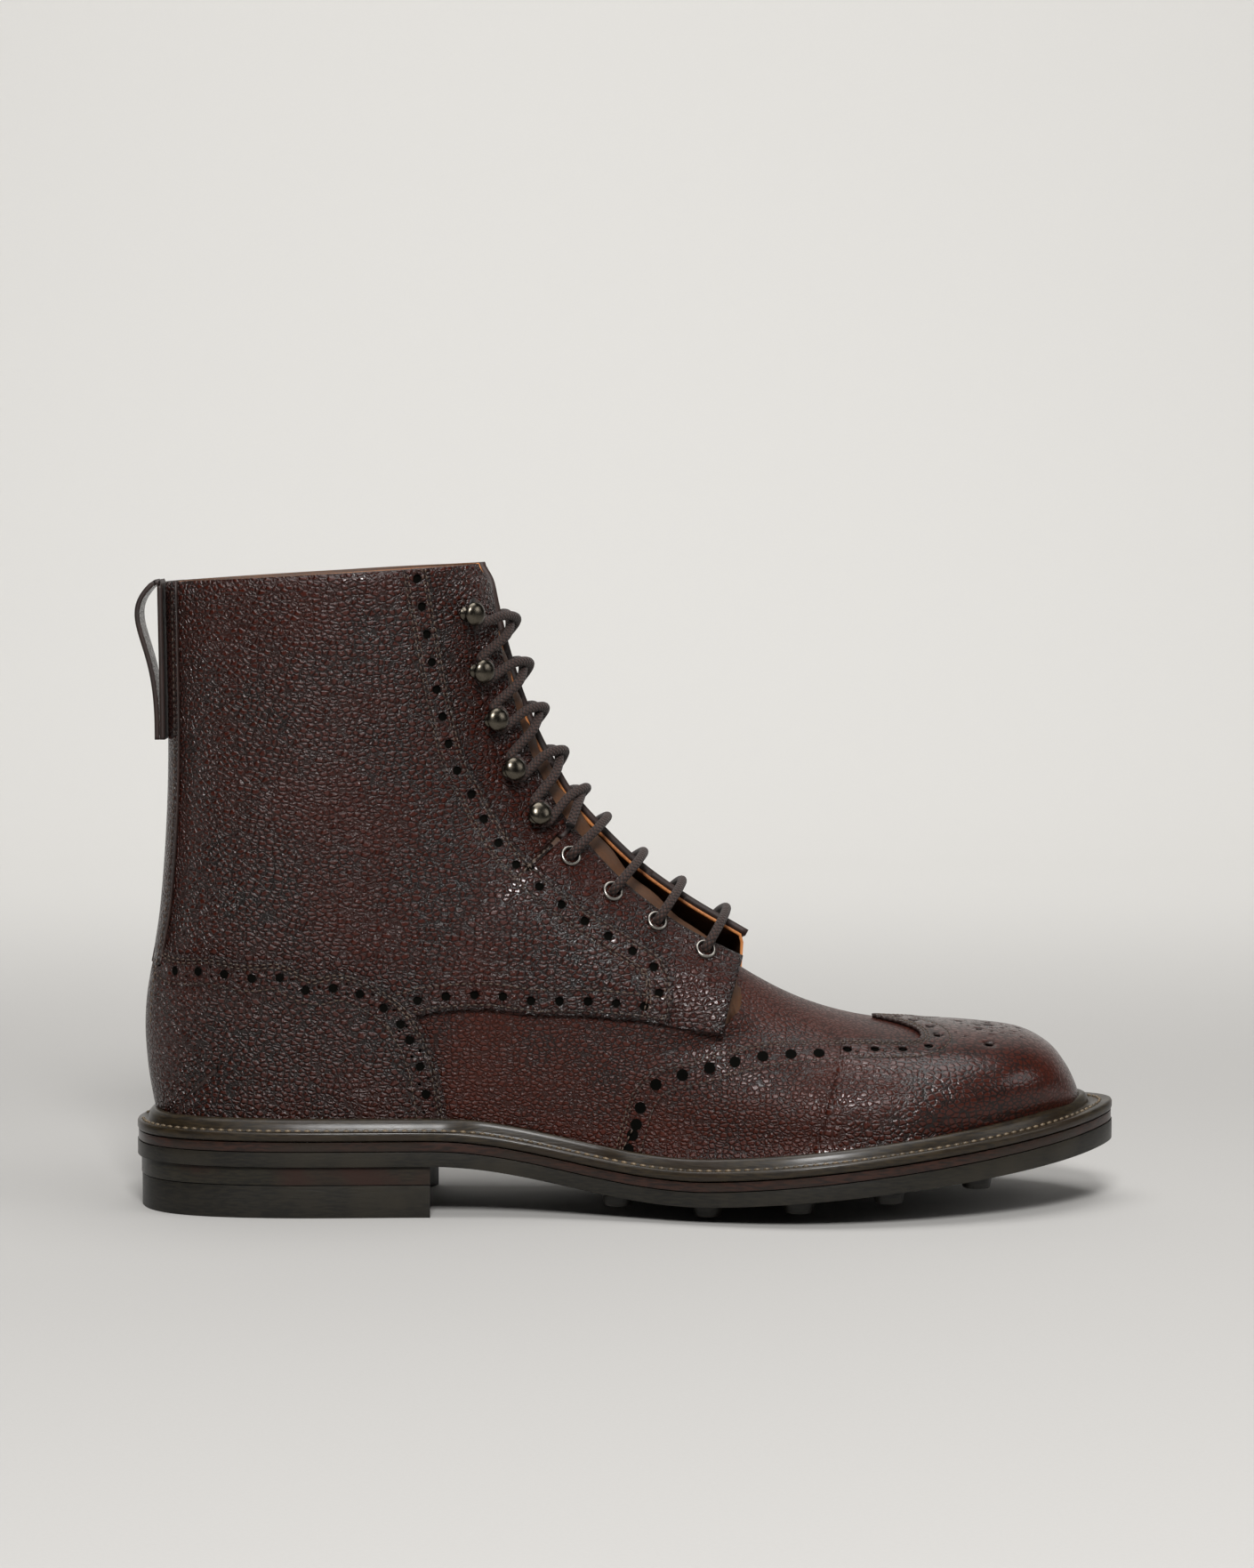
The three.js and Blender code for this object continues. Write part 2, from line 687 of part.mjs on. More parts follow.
function studPlaces() {
  const places = [];
  for (let x = studRowX - studPitch; x < soleLength - studFreeToe; x += studPitch) {
    const lateral = featherY(feather.lateral, x);
    const medial = featherY(feather.medial, x);
    const count = Math.max(1, Math.round((medial - lateral - 2 * studRadius) / studSpread));
    for (let k = 0; k <= count; k++) {
      places.push([x, mix(lateral + studRadius / 2, medial - studRadius / 2, k / count)]);
    }
  }
  return places;
}

function stud(x, y) {
  const under = soleUnder(x, y);
  const rest = under - studHeight;
  const foot = rest < studHeight / 3 ? 0 : rest;
  const sunk = outsoleThickness / 2;
  const shape = new THREE.CylinderGeometry(studRadius, studRadius * studTaper, under + sunk - foot, 6);
  shape.rotateX(Math.PI / 2);
  shape.translate(x, y, (under + sunk + foot) / 2);
  return solidOf(shape);
}

function makeOutsole() {
  const slab = plate({ low: soleUnder, high: outsoleTop });
  return joined([slab, ...studPlaces().map(([x, y]) => stud(x, y))]);
}

function makeMidsole() {
  return plate({ extra: clearance, low: midsoleLow, high: midsoleTop, across: 4 });
}

function makeInsole() {
  const extra = wall + 2 * clearance + insoleRoom;
  const low = (x, y) => bed(x, y) + facetRoom;
  const high = (x, y) => bed(x, y) + insoleThickness;
  return plate({ inset: 1, extra, low, high, rows: 22 });
}

// How far in from the sole's edge the upper's face lies, at a height over the bed
function faceInset(side, place, height) {
  const measure = (extra) => {
    const [x, y] = edgePoint(side, place, 0, extra);
    return insideUpper(x, y, height) ? -1 : 1;
  };
  return solve(0, 4 * weltWidth, measure);
}

function planeThrough(x, z) {
  const across = (station) => {
    const { foot, crest } = section(station);
    return (crest[0] - foot[0]) * (z - foot[1]) - (crest[1] - foot[1]) * (x - foot[0]);
  };
  if (across(0) < 0) return null;
  const station = solve(0, collarStation, across);
  const { foot, crest } = section(station);
  const span = (crest[0] - foot[0]) ** 2 + (crest[1] - foot[1]) ** 2;
  const up = ((x - foot[0]) * (crest[0] - foot[0]) + (z - foot[1]) * (crest[1] - foot[1])) / span;
  return { station, up };
}

function insideUpper(x, y, height) {
  const crown = soleUnder(x, y) - soleUnder(x, 0);
  let found = null;
  let rise = 0;
  for (let k = 0; k < 4; k++) {
    found = planeThrough(x, bed(x, 0) + height + rise);
    if (found === null) return false;
    rise = crown * (1 - (1 - Math.max(0, found.up)) ** 4);
  }
  const { station, up } = found;
  if (up > 1 || (up < 0 && station >= heelStation)) return false;
  const { widest, crestRound, heelRound } = section(station);
  const high = up > widest;
  const lowShare = 1 - Math.max(0, up) / widest;
  const cosine = high ? ((up - widest) / (1 - widest)) ** (crestRound / 2) : lowShare ** (heelRound / 2);
  const angle = Math.acos(Math.min(1, cosine)) / Math.PI;
  const turn = high ? angle : 1 - angle;
  return y > lastPoint(station, -turn).y && y < lastPoint(station, turn).y;
}

function ribReach(x) {
  const share = x / soleLength;
  const easeStart = counterFront - ribEase / 4;
  const counter = stiffLeather * (1 - smooth(easeStart, easeStart + ribEase, share));
  const cap = capLeather * smooth(ribCapFrom, ribCapTo, share);
  return ribThickness + counter + cap;
}

function makeWelt() {
  const stops = 28;
  const ring = [];
  for (let k = 0; k < 2 * stops; k++) {
    const side = k < stops ? -1 : 1;
    const share = k < stops ? k / stops : (2 * stops - k) / stops;
    const place = planLast * mix(share, (1 - Math.cos(Math.PI * share)) / 2, weltCrowding);
    const [edgeX] = edgePoint(side, place);
    const level = weltThickness;
    const low = faceInset(side, place, 0) - clearance - 1.75 * facetRoom;
    const middle = faceInset(side, place, level) - clearance - 1.75 * facetRoom;
    const top = Math.min(middle, faceInset(side, place, level + ribHeight) - clearance - 1.75 * facetRoom);
    const reach = ribReach(edgeX);
    const corners = [
      [0, 0], [0, level], [middle - reach, level], [top - reach, level + ribHeight], [top, level + ribHeight],
      [middle, level], [low, 0],
    ];
    ring.push(corners.map(([inset, height]) => {
      const [x, y] = edgePoint(side, place, 0, inset);
      return [x, y, bed(x, y) + height];
    }));
  }
  const size = ring[0].length;
  const indices = [];
  for (let k = 0; k < ring.length; k++) {
    for (let j = 0; j < size; j++) {
      const a = k * size + j;
      const b = k * size + (j + 1) % size;
      const c = ((k + 1) % ring.length) * size + j;
      const d = ((k + 1) % ring.length) * size + (j + 1) % size;
      indices.push(a, c, d, a, d, b);
    }
  }
  return toSolid(ring.flat(2), indices);
}

// The strap's loop, a closed band on the backstay
function makePullLoop() {
  const seat = (station) => {
    const point = upperPoint(station, 1);
    const normal = outward(upperPoint, station, 1);
    return point.addScaledVector(normal, 2 * clearance + stiffLeather);
  };
  const top = seat(collarStation);
  const bottomStation = solve(heelStation, collarStation, (station) => top.z - loopHeight - seat(station).z);
  const steps = 8;
  const inner = [];
  for (let k = 0; k <= steps; k++) {
    inner.push(seat(mix(bottomStation, collarStation, k / steps)));
  }
  const lean = (k) => Math.sin(Math.PI * (k / steps) ** 3) * loopReach;
  const nearSide = inner.map((p) => [p.x, p.z]);
  const outerSide = inner.map((p, k) => [p.x - 2 * strapThickness - lean(k), p.z]);
  const hollowNear = inner.slice(1, -1).map((p) => [p.x - strapThickness, p.z]);
  const hollowFar = inner.slice(1, -1).map((p, k) => [p.x - strapThickness - Math.max(0.2, lean(k + 1)), p.z]);
  const shape = new THREE.Shape([...nearSide, ...outerSide.reverse()].map(([x, z]) => new THREE.Vector2(x, z)));
  const hollow = [...hollowNear, ...hollowFar.reverse()].map(([x, z]) => new THREE.Vector2(x, z));
  shape.holes.push(new THREE.Path(hollow));
  const band = new THREE.ExtrudeGeometry(shape, { depth: strapWidth, bevelEnabled: false });
  band.rotateX(Math.PI / 2);
  band.translate(0, strapWidth / 2, 0);
  return solidOf(band);
}

function turned(profile, station, side, segments) {
  const { point, spin } = eyeletFrame(station, side);
  const shape = new THREE.LatheGeometry(profile.map(([r, h]) => new THREE.Vector2(r, h)), segments);
  shape.applyQuaternion(spin);
  shape.translate(...point.toArray());
  return solidOf(shape);
}

function makeEyelet(station, side) {
  const barrel = eyeletBore + eyeletBarrel;
  const deep = -facingLeather - wall;
  const profile = [
    [eyeletBore, deep], [barrel, deep], [barrel, clearance], [eyeletFlange, clearance],
    [eyeletFlange, clearance + flangeThickness], [eyeletBore, clearance + flangeThickness], [eyeletBore, deep],
  ];
  return turned(profile, station, side, 8);
}

function makeHook(station, side) {
  const base = clearance;
  const neck = base + hookNeckHeight;
  const profile = [
    [0, base], [hookNeck * 1.6, base], [hookNeck, base + 0.5], [hookNeck, neck], [hookRadius, neck + 0.3],
    [hookRadius * 0.75, neck + hookDome * 0.8], [0, neck + hookDome],
  ];
  return turned(profile, station, side, 8);
}

function tube(points, steps) {
  const corner = (k) => new THREE.Vector2(Math.cos(k * Math.PI / 3), Math.sin(k * Math.PI / 3));
  const outline = new THREE.Shape([0, 1, 2, 3, 4, 5].map((k) => corner(k).multiplyScalar(laceRadius)));
  const path = new THREE.CatmullRomCurve3(points, false, "centripetal");
  const shape = new THREE.ExtrudeGeometry(outline, { extrudePath: path, steps, bevelEnabled: false });
  return solidOf(shape);
}

// A place over the throat, a height above the facings' own surface
function overThroat(station, turn, height) {
  const normal = outward(upperPoint, station, turn);
  return upperPoint(station, turn).addScaledVector(normal, facingLeather + height);
}

// A lace bar from eyelet to eyelet across the throat
function makeBar(station) {
  const rest = clearance + flangeThickness + laceRadius + clearance;
  const near = (side) => [[1, -1], [1, 1.8], [0.92, rest + 0.5], [0.76, rest + 0.6], [0.5, rest]].map(
    ([share, height]) => overThroat(station, side * share * lacingTurn, height));
  return tube([...near(-1), overThroat(station, 0, rest), ...near(1).reverse()], 13);
}

// One lace from the top eyelet over the hooks, changing sides at each
function laceRun(firstSide) {
  const rest = laceRadius + 3 * clearance;
  const ring = hookNeck + laceRadius + 3 * clearance;
  const start = eyeletStations.at(-1) + 0.4;
  const points = [overThroat(start, firstSide * lacingTurn * 0.8, rest + 1)];
  let side = firstSide;
  let from = start;
  hookStations.forEach((station) => {
    const high = side > 0 ? rest + laceRadius : rest - laceRadius / 2;
    points.push(overThroat(mix(from, station, 0.3), side * lacingTurn * 0.5, rest + clearance));
    points.push(overThroat(mix(from, station, 0.5), 0, high));
    points.push(overThroat(mix(from, station, 0.7), -side * lacingTurn * 0.5, rest + clearance));
    side = -side;
    const { point, normal } = eyeletFrame(station, side);
    const along = eyeletFrame(station + 0.3, side).point.sub(eyeletFrame(station - 0.3, side).point);
    along.projectOnPlane(normal).normalize();
    const away = along.clone().cross(normal).multiplyScalar(-side);
    const round = (angle) => point.clone().addScaledVector(normal, rest + 0.8)
      .addScaledVector(along, ring * Math.sin(angle)).addScaledVector(away, ring * Math.cos(angle));
    points.push(round(-1.3), round(-0.45), round(0.45), round(1.3));
    from = station;
  });
  return tube(points, 50);
}

function makeLaceCrossings() {
  return joined(sides.map((side) => laceRun(side)));
}

// Colours
const burgundy = { color: 0x3c1e16, roughness: 0.42, metalness: 0 };
const overlayLook = { color: 0x3f2018, roughness: 0.4, metalness: 0 };
const rubber = { color: 0x26241e, roughness: 0.75, metalness: 0 };
const edgeLook = { color: 0x38211a, roughness: 0.6, metalness: 0 };
const weltLook = { color: 0x32281b, roughness: 0.6, metalness: 0 };
const liningLook = { color: 0xa87442, roughness: 0.7, metalness: 0 };
const laceLook = { color: 0x463230, roughness: 0.8, metalness: 0 };
const metalLook = { color: 0x2a2724, roughness: 0.35, metalness: 0.9 };

const boot = new THREE.Group();
boot.name = "boot";

function addPiece(name, solid, look) {
  const { vertProperties, triVerts } = solid.simplify(finest).getMesh();
  const geometry = new THREE.BufferGeometry();
  geometry.setAttribute("position", new THREE.Float32BufferAttribute(vertProperties, 3));
  geometry.setIndex(new THREE.Uint32BufferAttribute(triVerts, 1));
  geometry.translate(-heelCentre, 0, 0);
  geometry.computeVertexNormals();
  const mesh = new THREE.Mesh(geometry, new THREE.MeshStandardMaterial(look));
  mesh.name = name;
  boot.add(mesh);
}

addPiece("top_piece", makeTopPiece(), rubber);
addPiece("heel_lift", makeHeelLift(), edgeLook);
addPiece("outsole", makeOutsole(), rubber);
addPiece("midsole", makeMidsole(), edgeLook);
addPiece("welt", makeWelt(), weltLook);
addPiece("insole", makeInsole(), liningLook);
addPiece("upper", makeUpper(), burgundy);
addPiece("tongue", makeTongue(), burgundy);
addPiece("toe_cap", makeCap(), overlayLook);
addPiece("counter", makeCounter(), overlayLook);
addPiece("backstay", makeBackstay(), overlayLook);
addPiece("pull_loop", makePullLoop(), burgundy);
for (const side of sides) {
  const word = side < 0 ? "lateral" : "medial";
  eyeletStations.forEach((station, k) => addPiece(`eyelet_${word}_${k + 1}`, makeEyelet(station, side), metalLook));
  hookStations.forEach((station, k) => addPiece(`hook_${word}_${k + 1}`, makeHook(station, side), metalLook));
}
eyeletStations.forEach((station, k) => addPiece(`lace_bar_${k + 1}`, makeBar(station), laceLook));
addPiece("lace_crossings", makeLaceCrossings(), laceLook);

export default boot;
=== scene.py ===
import json
import math

import bmesh
import bpy
import numpy as np
from mathutils import Matrix, Vector
from mathutils.kdtree import KDTree

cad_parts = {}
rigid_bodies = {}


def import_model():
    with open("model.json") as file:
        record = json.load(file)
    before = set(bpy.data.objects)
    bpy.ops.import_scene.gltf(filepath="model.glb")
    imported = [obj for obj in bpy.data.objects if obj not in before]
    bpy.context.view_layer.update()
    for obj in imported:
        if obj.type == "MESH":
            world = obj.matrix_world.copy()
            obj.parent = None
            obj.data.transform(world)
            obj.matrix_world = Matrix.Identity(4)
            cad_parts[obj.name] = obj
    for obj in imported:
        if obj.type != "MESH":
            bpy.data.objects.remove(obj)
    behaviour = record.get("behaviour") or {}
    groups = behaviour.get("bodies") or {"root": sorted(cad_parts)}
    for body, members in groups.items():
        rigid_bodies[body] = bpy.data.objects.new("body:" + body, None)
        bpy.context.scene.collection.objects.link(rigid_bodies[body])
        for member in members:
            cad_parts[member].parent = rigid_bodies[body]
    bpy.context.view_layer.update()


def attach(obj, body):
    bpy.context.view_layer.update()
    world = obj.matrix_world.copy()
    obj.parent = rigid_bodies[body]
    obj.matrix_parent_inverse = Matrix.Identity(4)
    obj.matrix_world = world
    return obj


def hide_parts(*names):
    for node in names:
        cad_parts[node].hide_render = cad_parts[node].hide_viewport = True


for leftover in list(bpy.data.objects):
    bpy.data.objects.remove(leftover)
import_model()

# %% [markdown]
# ## The last in numbers
#
# A bootmaker starts from a last, a wooden foot. Here the last is a fan of sections that turns from the
# toe over the instep to the collar. A small table with named columns says how each section stands and how
# wide it is. The same table made the solids, so every panel that is pulled over it will lie where the CAD
# says. Sculpting by eye would be quicker to start, but then nothing would line up.
# %% Sizes
MM = 0.001
sole_length = 313.0
ball_width = 110.0
upper_height = 181.0
heel_centre = 44.0
gap = 0.3
facet_room = 0.4
heel_height = 16.3
heel_length = 95.0
heel_inset = 1.2
breast_hollow = 7.0
top_piece = 10.2
stud_height = 3.3
stud_radius = 5.0
outsole_thick = 4.6
midsole_thick = 2.8
toe_build_up = 1.5
toe_spring = 16.3
sole_crown = 3.2
tread_low = 180.0
welt_thick = 3.2
welt_width = 8.0
rib_height = 3.7
facing_leather = 1.0
quarter_leather = 0.9
throat_half = 8.5
throat_half_top = 6.0
throat_middle = -1.0
collar_corner = 6.0
facing_lift = 10.5
collar_station = 22.0
heel_station = 17.0
throat_station = 10.6
facing_slant = 1.6
facing_ramp = 0.3
lacing_turn = 0.17
hook_spread = 0.035
eyelet_stations = [11.18, 12.15, 13.1, 14.12]
hook_stations = [15.28, 17.05, 18.75, 20.05, 21.2]
lace_radius = 1.5
sides = (-1, 1)
named_sides = ((-1, "lateral"), (1, "medial"))


def table(names, rows):
    return {name: np.array([row[k] for row in rows], float) for k, name in enumerate(names)}


plan = table(["x", "lateral", "medial", "inset"], [
    [0.000, 0.000, 0.000, 1.16], [0.016, -0.168, 0.168, 1.08], [0.064, -0.275, 0.275, 0.98],
    [0.153, -0.322, 0.318, 0.90], [0.294, -0.314, 0.295, 0.82], [0.400, -0.314, 0.277, 0.79],
    [0.495, -0.364, 0.305, 0.85], [0.588, -0.445, 0.395, 1.00], [0.675, -0.491, 0.480, 1.08],
    [0.765, -0.468, 0.514, 1.10], [0.855, -0.380, 0.465, 1.16], [0.930, -0.240, 0.360, 1.28],
    [0.980, -0.075, 0.225, 1.42], [1.000, 0.075, 0.075, 1.52],
])
sections = table(
    ["foot", "back", "rise", "x", "z", "centre", "widest", "lateral", "medial", "crest", "heel", "lift"], [
        [0.9966, 0, 0, 0.961, 0.012, 0.075, 0.40, 0.90, 0.90, 2.3, 2.2, 0],
        [0.989, 0, 0, 0.960, 0.038, 0.075, 0.40, 0.95, 0.95, 2.3, 2.2, 0],
        [0.973, 0, 0, 0.956, 0.061, 0.075, 0.39, 0.97, 0.97, 2.3, 2.2, 0],
        [0.953, 0, 0, 0.947, 0.094, 0.075, 0.38, 0.98, 0.98, 2.35, 2.2, 0],
        [0.923, 0, 0, 0.931, 0.132, 0.07, 0.36, 0.99, 0.99, 2.35, 2.2, 0],
        [0.884, 0, 0, 0.903, 0.165, 0.07, 0.33, 1.00, 1.00, 2.35, 2.2, 0],
        [0.834, 0, 0, 0.856, 0.190, 0.07, 0.31, 1.01, 1.01, 2.3, 2.2, 0],
        [0.776, 0, 0, 0.796, 0.214, 0.07, 0.29, 1.03, 1.01, 2.2, 2.2, 0],
        [0.711, 0, 0, 0.735, 0.243, 0.065, 0.28, 1.05, 1.01, 2.1, 2.2, 0],
        [0.640, 0, 0, 0.682, 0.281, 0.06, 0.28, 1.08, 1.02, 2.0, 2.2, 0.9],
        [0.565, 0, 0, 0.634, 0.329, 0.055, 0.30, 1.14, 1.06, 1.95, 2.2, 1],
        [0.479, 0, 0, 0.588, 0.385, 0.05, 0.33, 1.27, 1.20, 1.9, 2.2, 0.92],
        [0.383, 0, 0, 0.541, 0.443, 0.045, 0.36, 1.32, 1.28, 1.9, 2.3, 0.76],
        [0.280, 0, 0, 0.500, 0.498, 0.04, 0.39, 1.26, 1.25, 1.9, 2.3, 0.58],
        [0.174, 0, 0, 0.465, 0.557, 0.035, 0.41, 1.19, 1.19, 1.9, 2.3, 0.42],
        [0.081, 0, 0, 0.438, 0.617, 0.03, 0.42, 1.16, 1.16, 1.9, 2.2, 0.22],
        [0.021, 0, 0, 0.422, 0.670, 0.025, 0.43, 1.14, 1.14, 1.9, 2.1, 0.12],
        [0, 0, 0, 0.410, 0.712, 0.02, 0.43, 1.12, 1.12, 1.9, 2.0, 0.08],
        [0, -0.011, 0.109, 0.399, 0.755, 0.015, 0.43, 1.10, 1.10, 1.9, 1.95, 0.08],
        [0, -0.012, 0.219, 0.389, 0.802, 0.01, 0.44, 1.08, 1.08, 1.9, 1.9, 0.08],
        [0, 0.004, 0.385, 0.377, 0.861, 0.01, 0.46, 1.10, 1.10, 1.95, 1.8, 0.08],
        [0, 0.013, 0.628, 0.367, 0.927, 0.005, 0.50, 1.15, 1.15, 2.0, 1.7, 0.08],
        [0, 0.0115, 0.957, 0.358, 1.003, 0, 0.55, 1.20, 1.20, 2.0, 1.6, 0.08],
    ])
print("sections", len(sections["foot"]))

# %% [markdown]
# ## Curves, the sole's outline and the last's surface
#
# Three small helpers do the arithmetic: a soft step, a smooth curve through a column of the table, and a
# point of the sole's edge. They take whole arrays, because a panel has tens of thousands of points and a
# loop for each would be slow.
# %% Curves and sole heights
def smooth(start, end, value):
    share = np.clip((np.asarray(value, float) - start) / (end - start), 0, 1)
    return share * share * (3 - 2 * share)


def mix(a, b, share):
    return a + (b - a) * share


def unit(vectors):
    return vectors / np.maximum(1e-9, np.linalg.norm(vectors, axis=-1, keepdims=True))


def arc_of(points):
    return np.concatenate([[0], np.cumsum(np.linalg.norm(np.diff(points, axis=0), axis=1))])


def same_shape(station, turn):
    return np.broadcast_arrays(np.asarray(station, float), np.asarray(turn, float))


def through(values, place, before=None, after=None):
    place = np.asarray(place, float)
    last = len(values) - 1
    k = np.clip(np.floor(place).astype(int), 0, last - 1)
    f = np.clip(place - k, 0, 1)
    b, c = values[k], values[k + 1]
    first = 2 * b - c if before is None else before
    final = 2 * c - b if after is None else after
    a = np.where(k > 0, values[np.maximum(k - 1, 0)], first)
    d = np.where(k + 2 <= last, values[np.minimum(k + 2, last)], final)
    bend = (2 * a - 5 * b + 4 * c - d) * f * f + (3 * b - a - 3 * c + d) * f ** 3
    return b + ((c - a) * f + bend) / 2


def sole_under(x, y):
    arch = 1 - smooth(heel_length, tread_low, x)
    spring = np.maximum(0, (x - tread_low) / (sole_length - tread_low)) ** 1.6
    crown = sole_crown * smooth(heel_length, tread_low, x) * (2 * y / ball_width) ** 2
    return stud_height + (heel_height - stud_height) * arch + toe_spring * spring + crown


def outsole_top(x, y):
    return sole_under(x, y) + outsole_thick + toe_build_up * smooth(tread_low, sole_length, x)


def midsole_low(x, y):
    return outsole_top(x, y) + gap


def midsole_top(x, y):
    return midsole_low(x, y) + midsole_thick


def bed(x, y):
    return midsole_top(x, y) + gap


plan_last = len(plan["x"]) - 1


def edge_point(side, place, inset=0.0, extra=0.0):
    own, other = (plan["lateral"], plan["medial"]) if side < 0 else (plan["medial"], plan["lateral"])

    def at(u):
        x = sole_length * through(plan["x"], u, plan["x"][1], plan["x"][-2])
        return x, ball_width * through(own, u, other[1], other[-2])

    place = np.asarray(place, float)
    step = 0.01
    x, y = at(place)
    x0, y0 = at(np.maximum(0, place - step))
    x1, y1 = at(np.minimum(plan_last, place + step))
    toe = place >= plan_last - step
    rear = place <= step
    dx = np.where(rear, 0, np.where(toe, x, x1) - x0)
    dy = np.where(rear, side, np.where(toe, y - side * step, y1) - y0)
    length = np.hypot(dx, dy)
    move = inset * welt_width * through(plan["inset"], place, plan["inset"][1], plan["inset"][-2]) + extra
    return x + side * dy / length * move, y - side * dx / length * move


feather_places = np.linspace(0, plan_last, 521)
feather = {side: edge_point(side, feather_places, 1) for side in sides}
feather_rear = float(feather[-1][0][0])
feather_toe = float(feather[-1][0][-1])


def feather_y(side, x):
    line = feather[side]
    return np.interp(x, np.maximum.accumulate(line[0]), line[1])


print("feather line from", round(feather_rear, 1), "to", round(feather_toe, 1))

# %% [markdown]
# A place on the upper has two numbers: its station, from 0 at the toe to 22 at the collar, and its turn,
# from -1 at the outer foot over 0 on the crest to 1 at the inner foot. That is the pattern maker's flat
# map, and every panel below is cut on it.
# %% The last's surface
def section(station):
    read = {name: through(column, station) for name, column in sections.items()}
    heel = station >= heel_station
    foot = np.maximum(0, np.where(heel, 0, read["foot"]))
    foot_x = feather_rear + foot * (feather_toe - feather_rear)
    rise = np.where(station > heel_station, np.maximum(0, read["rise"]), 0)
    back = np.where(station > heel_station, read["back"] * sole_length, 0)
    lateral, medial = feather_y(-1, foot_x), feather_y(1, foot_x)
    wide = np.maximum(foot_x, heel_centre)
    half = (feather_y(1, wide) - feather_y(-1, wide)) / 2
    x = read["x"] * sole_length
    return {
        "foot_x": foot_x + back,
        "foot_z": bed(foot_x, 0) + gap + 2 * facet_room + rise * upper_height,
        "crest_x": x,
        "crest_z": bed(x, 0) + read["z"] * upper_height,
        "foot_half": np.where(heel, 0, (medial - lateral) / 2),
        "foot_centre": np.where(heel, 0, (medial + lateral) / 2),
        "centre": read["centre"] * ball_width,
        "widest": read["widest"],
        "lateral": read["lateral"] * half,
        "medial": read["medial"] * half,
        "crest": read["crest"],
        "heel": read["heel"],
        "lift": read["lift"] * facing_lift,
    }


def last_point(station, turn):
    station, turn = same_shape(station, turn)
    s = section(station)
    side = np.where(turn < 0, -1, 1)
    angle = np.minimum(1, np.abs(turn)) * math.pi
    reach = np.where(side < 0, s["lateral"], s["medial"])
    sine = np.maximum(0, np.sin(angle))
    cosine = np.abs(np.cos(angle))
    high = np.abs(turn) <= 0.5
    up_high = s["widest"] + (1 - s["widest"]) * cosine ** (2 / s["crest"])
    y_high = s["centre"] + side * reach * sine ** (2 / s["crest"])
    out = sine * sine
    up_low = s["widest"] * (1 - cosine ** (2 / s["heel"]))
    wide = np.sqrt(np.maximum(0, s["foot_half"] ** 2 + (reach ** 2 - s["foot_half"] ** 2) * out))
    y_low = mix(s["foot_centre"], s["centre"], out) + side * wide
    up = np.where(high, up_high, up_low)
    y = np.where(high, y_high, y_low)
    x = mix(s["foot_x"], s["crest_x"], up)
    crown = sole_under(x, y) - sole_under(x, 0)
    z = mix(s["foot_z"], s["crest_z"], up) + crown * (1 - up) ** 4
    return np.stack([x, y, z], axis=-1)


def outward(surface, station, turn):
    station, turn = same_shape(station, turn)
    step = 0.004
    closed = station >= heel_station

    def wrap(t):
        return np.where(closed & (np.abs(t) > 1), t - 2 * np.sign(t), np.clip(t, -1, 1))

    around = surface(station, wrap(turn + step)) - surface(station, wrap(turn - step))
    along = surface(np.minimum(collar_station, station + step), turn)
    along = along - surface(np.maximum(0, station - step), turn)
    normal = unit(np.cross(around, along))
    normal[..., 2] *= np.where(closed, 1, 1 - smooth(0.9, 1, np.abs(turn)))
    return unit(normal)


def facing_front(turn):
    return throat_station - facing_slant * np.maximum(0, np.abs(turn) - 0.1)


def full_lift(station, turn):
    return section(station)["lift"] * (1 - smooth(0.12, 0.46, np.abs(turn)))


def raised_last(station, turn, height):
    return last_point(station, turn) + outward(last_point, station, turn) * height[..., None]


def upper_point(station, turn):
    station, turn = same_shape(station, turn)
    share = smooth(0, 1, (station - facing_front(turn) + facing_ramp) / facing_ramp)
    return raised_last(station, turn, full_lift(station, turn) * share)


def on_leather(station, turn, height):
    return upper_point(station, turn) + outward(upper_point, station, turn) * np.asarray(height)[..., None]


print("collar front", upper_point(22.0, 0.1).round(1), "toe crest", last_point(4.0, 0.0).round(1))

# %% [markdown]
# ## Cutting a panel and lasting it
#
# A real panel is cut flat with a knife, then pulled over the last. The same happens here. A grid operator
# makes the flat leather with station and turn as its two directions. A knife splits the edges that cross
# a seam line and joins the cuts, and a last step moves every point onto the last's surface. Modelling
# straight in space would need a new trick for each seam; on the flat map one knife does them all.
# %% Flat leather and a knife
CELLS_STATION = 9
CELLS_TURN = 92


def flat_leather(stations, turns, finer=1.0):
    bm = bmesh.new()
    across = max(2, round((stations[1] - stations[0]) * CELLS_STATION * finer))
    around = max(2, round((turns[1] - turns[0]) * CELLS_TURN * finer))
    middle = Vector((sum(stations) / 2, sum(turns) / 2, 0))
    half = Matrix.Diagonal(((stations[1] - stations[0]) / 2, (turns[1] - turns[0]) / 2, 1, 1))
    place = Matrix.Translation(middle) @ half
    bmesh.ops.create_grid(bm, x_segments=across, y_segments=around, size=1, matrix=place)
    return bm


def places_of(bm):
    bm.verts.index_update()
    flat = np.array([vert.co[:2] for vert in bm.verts])
    return flat[:, 0], flat[:, 1]


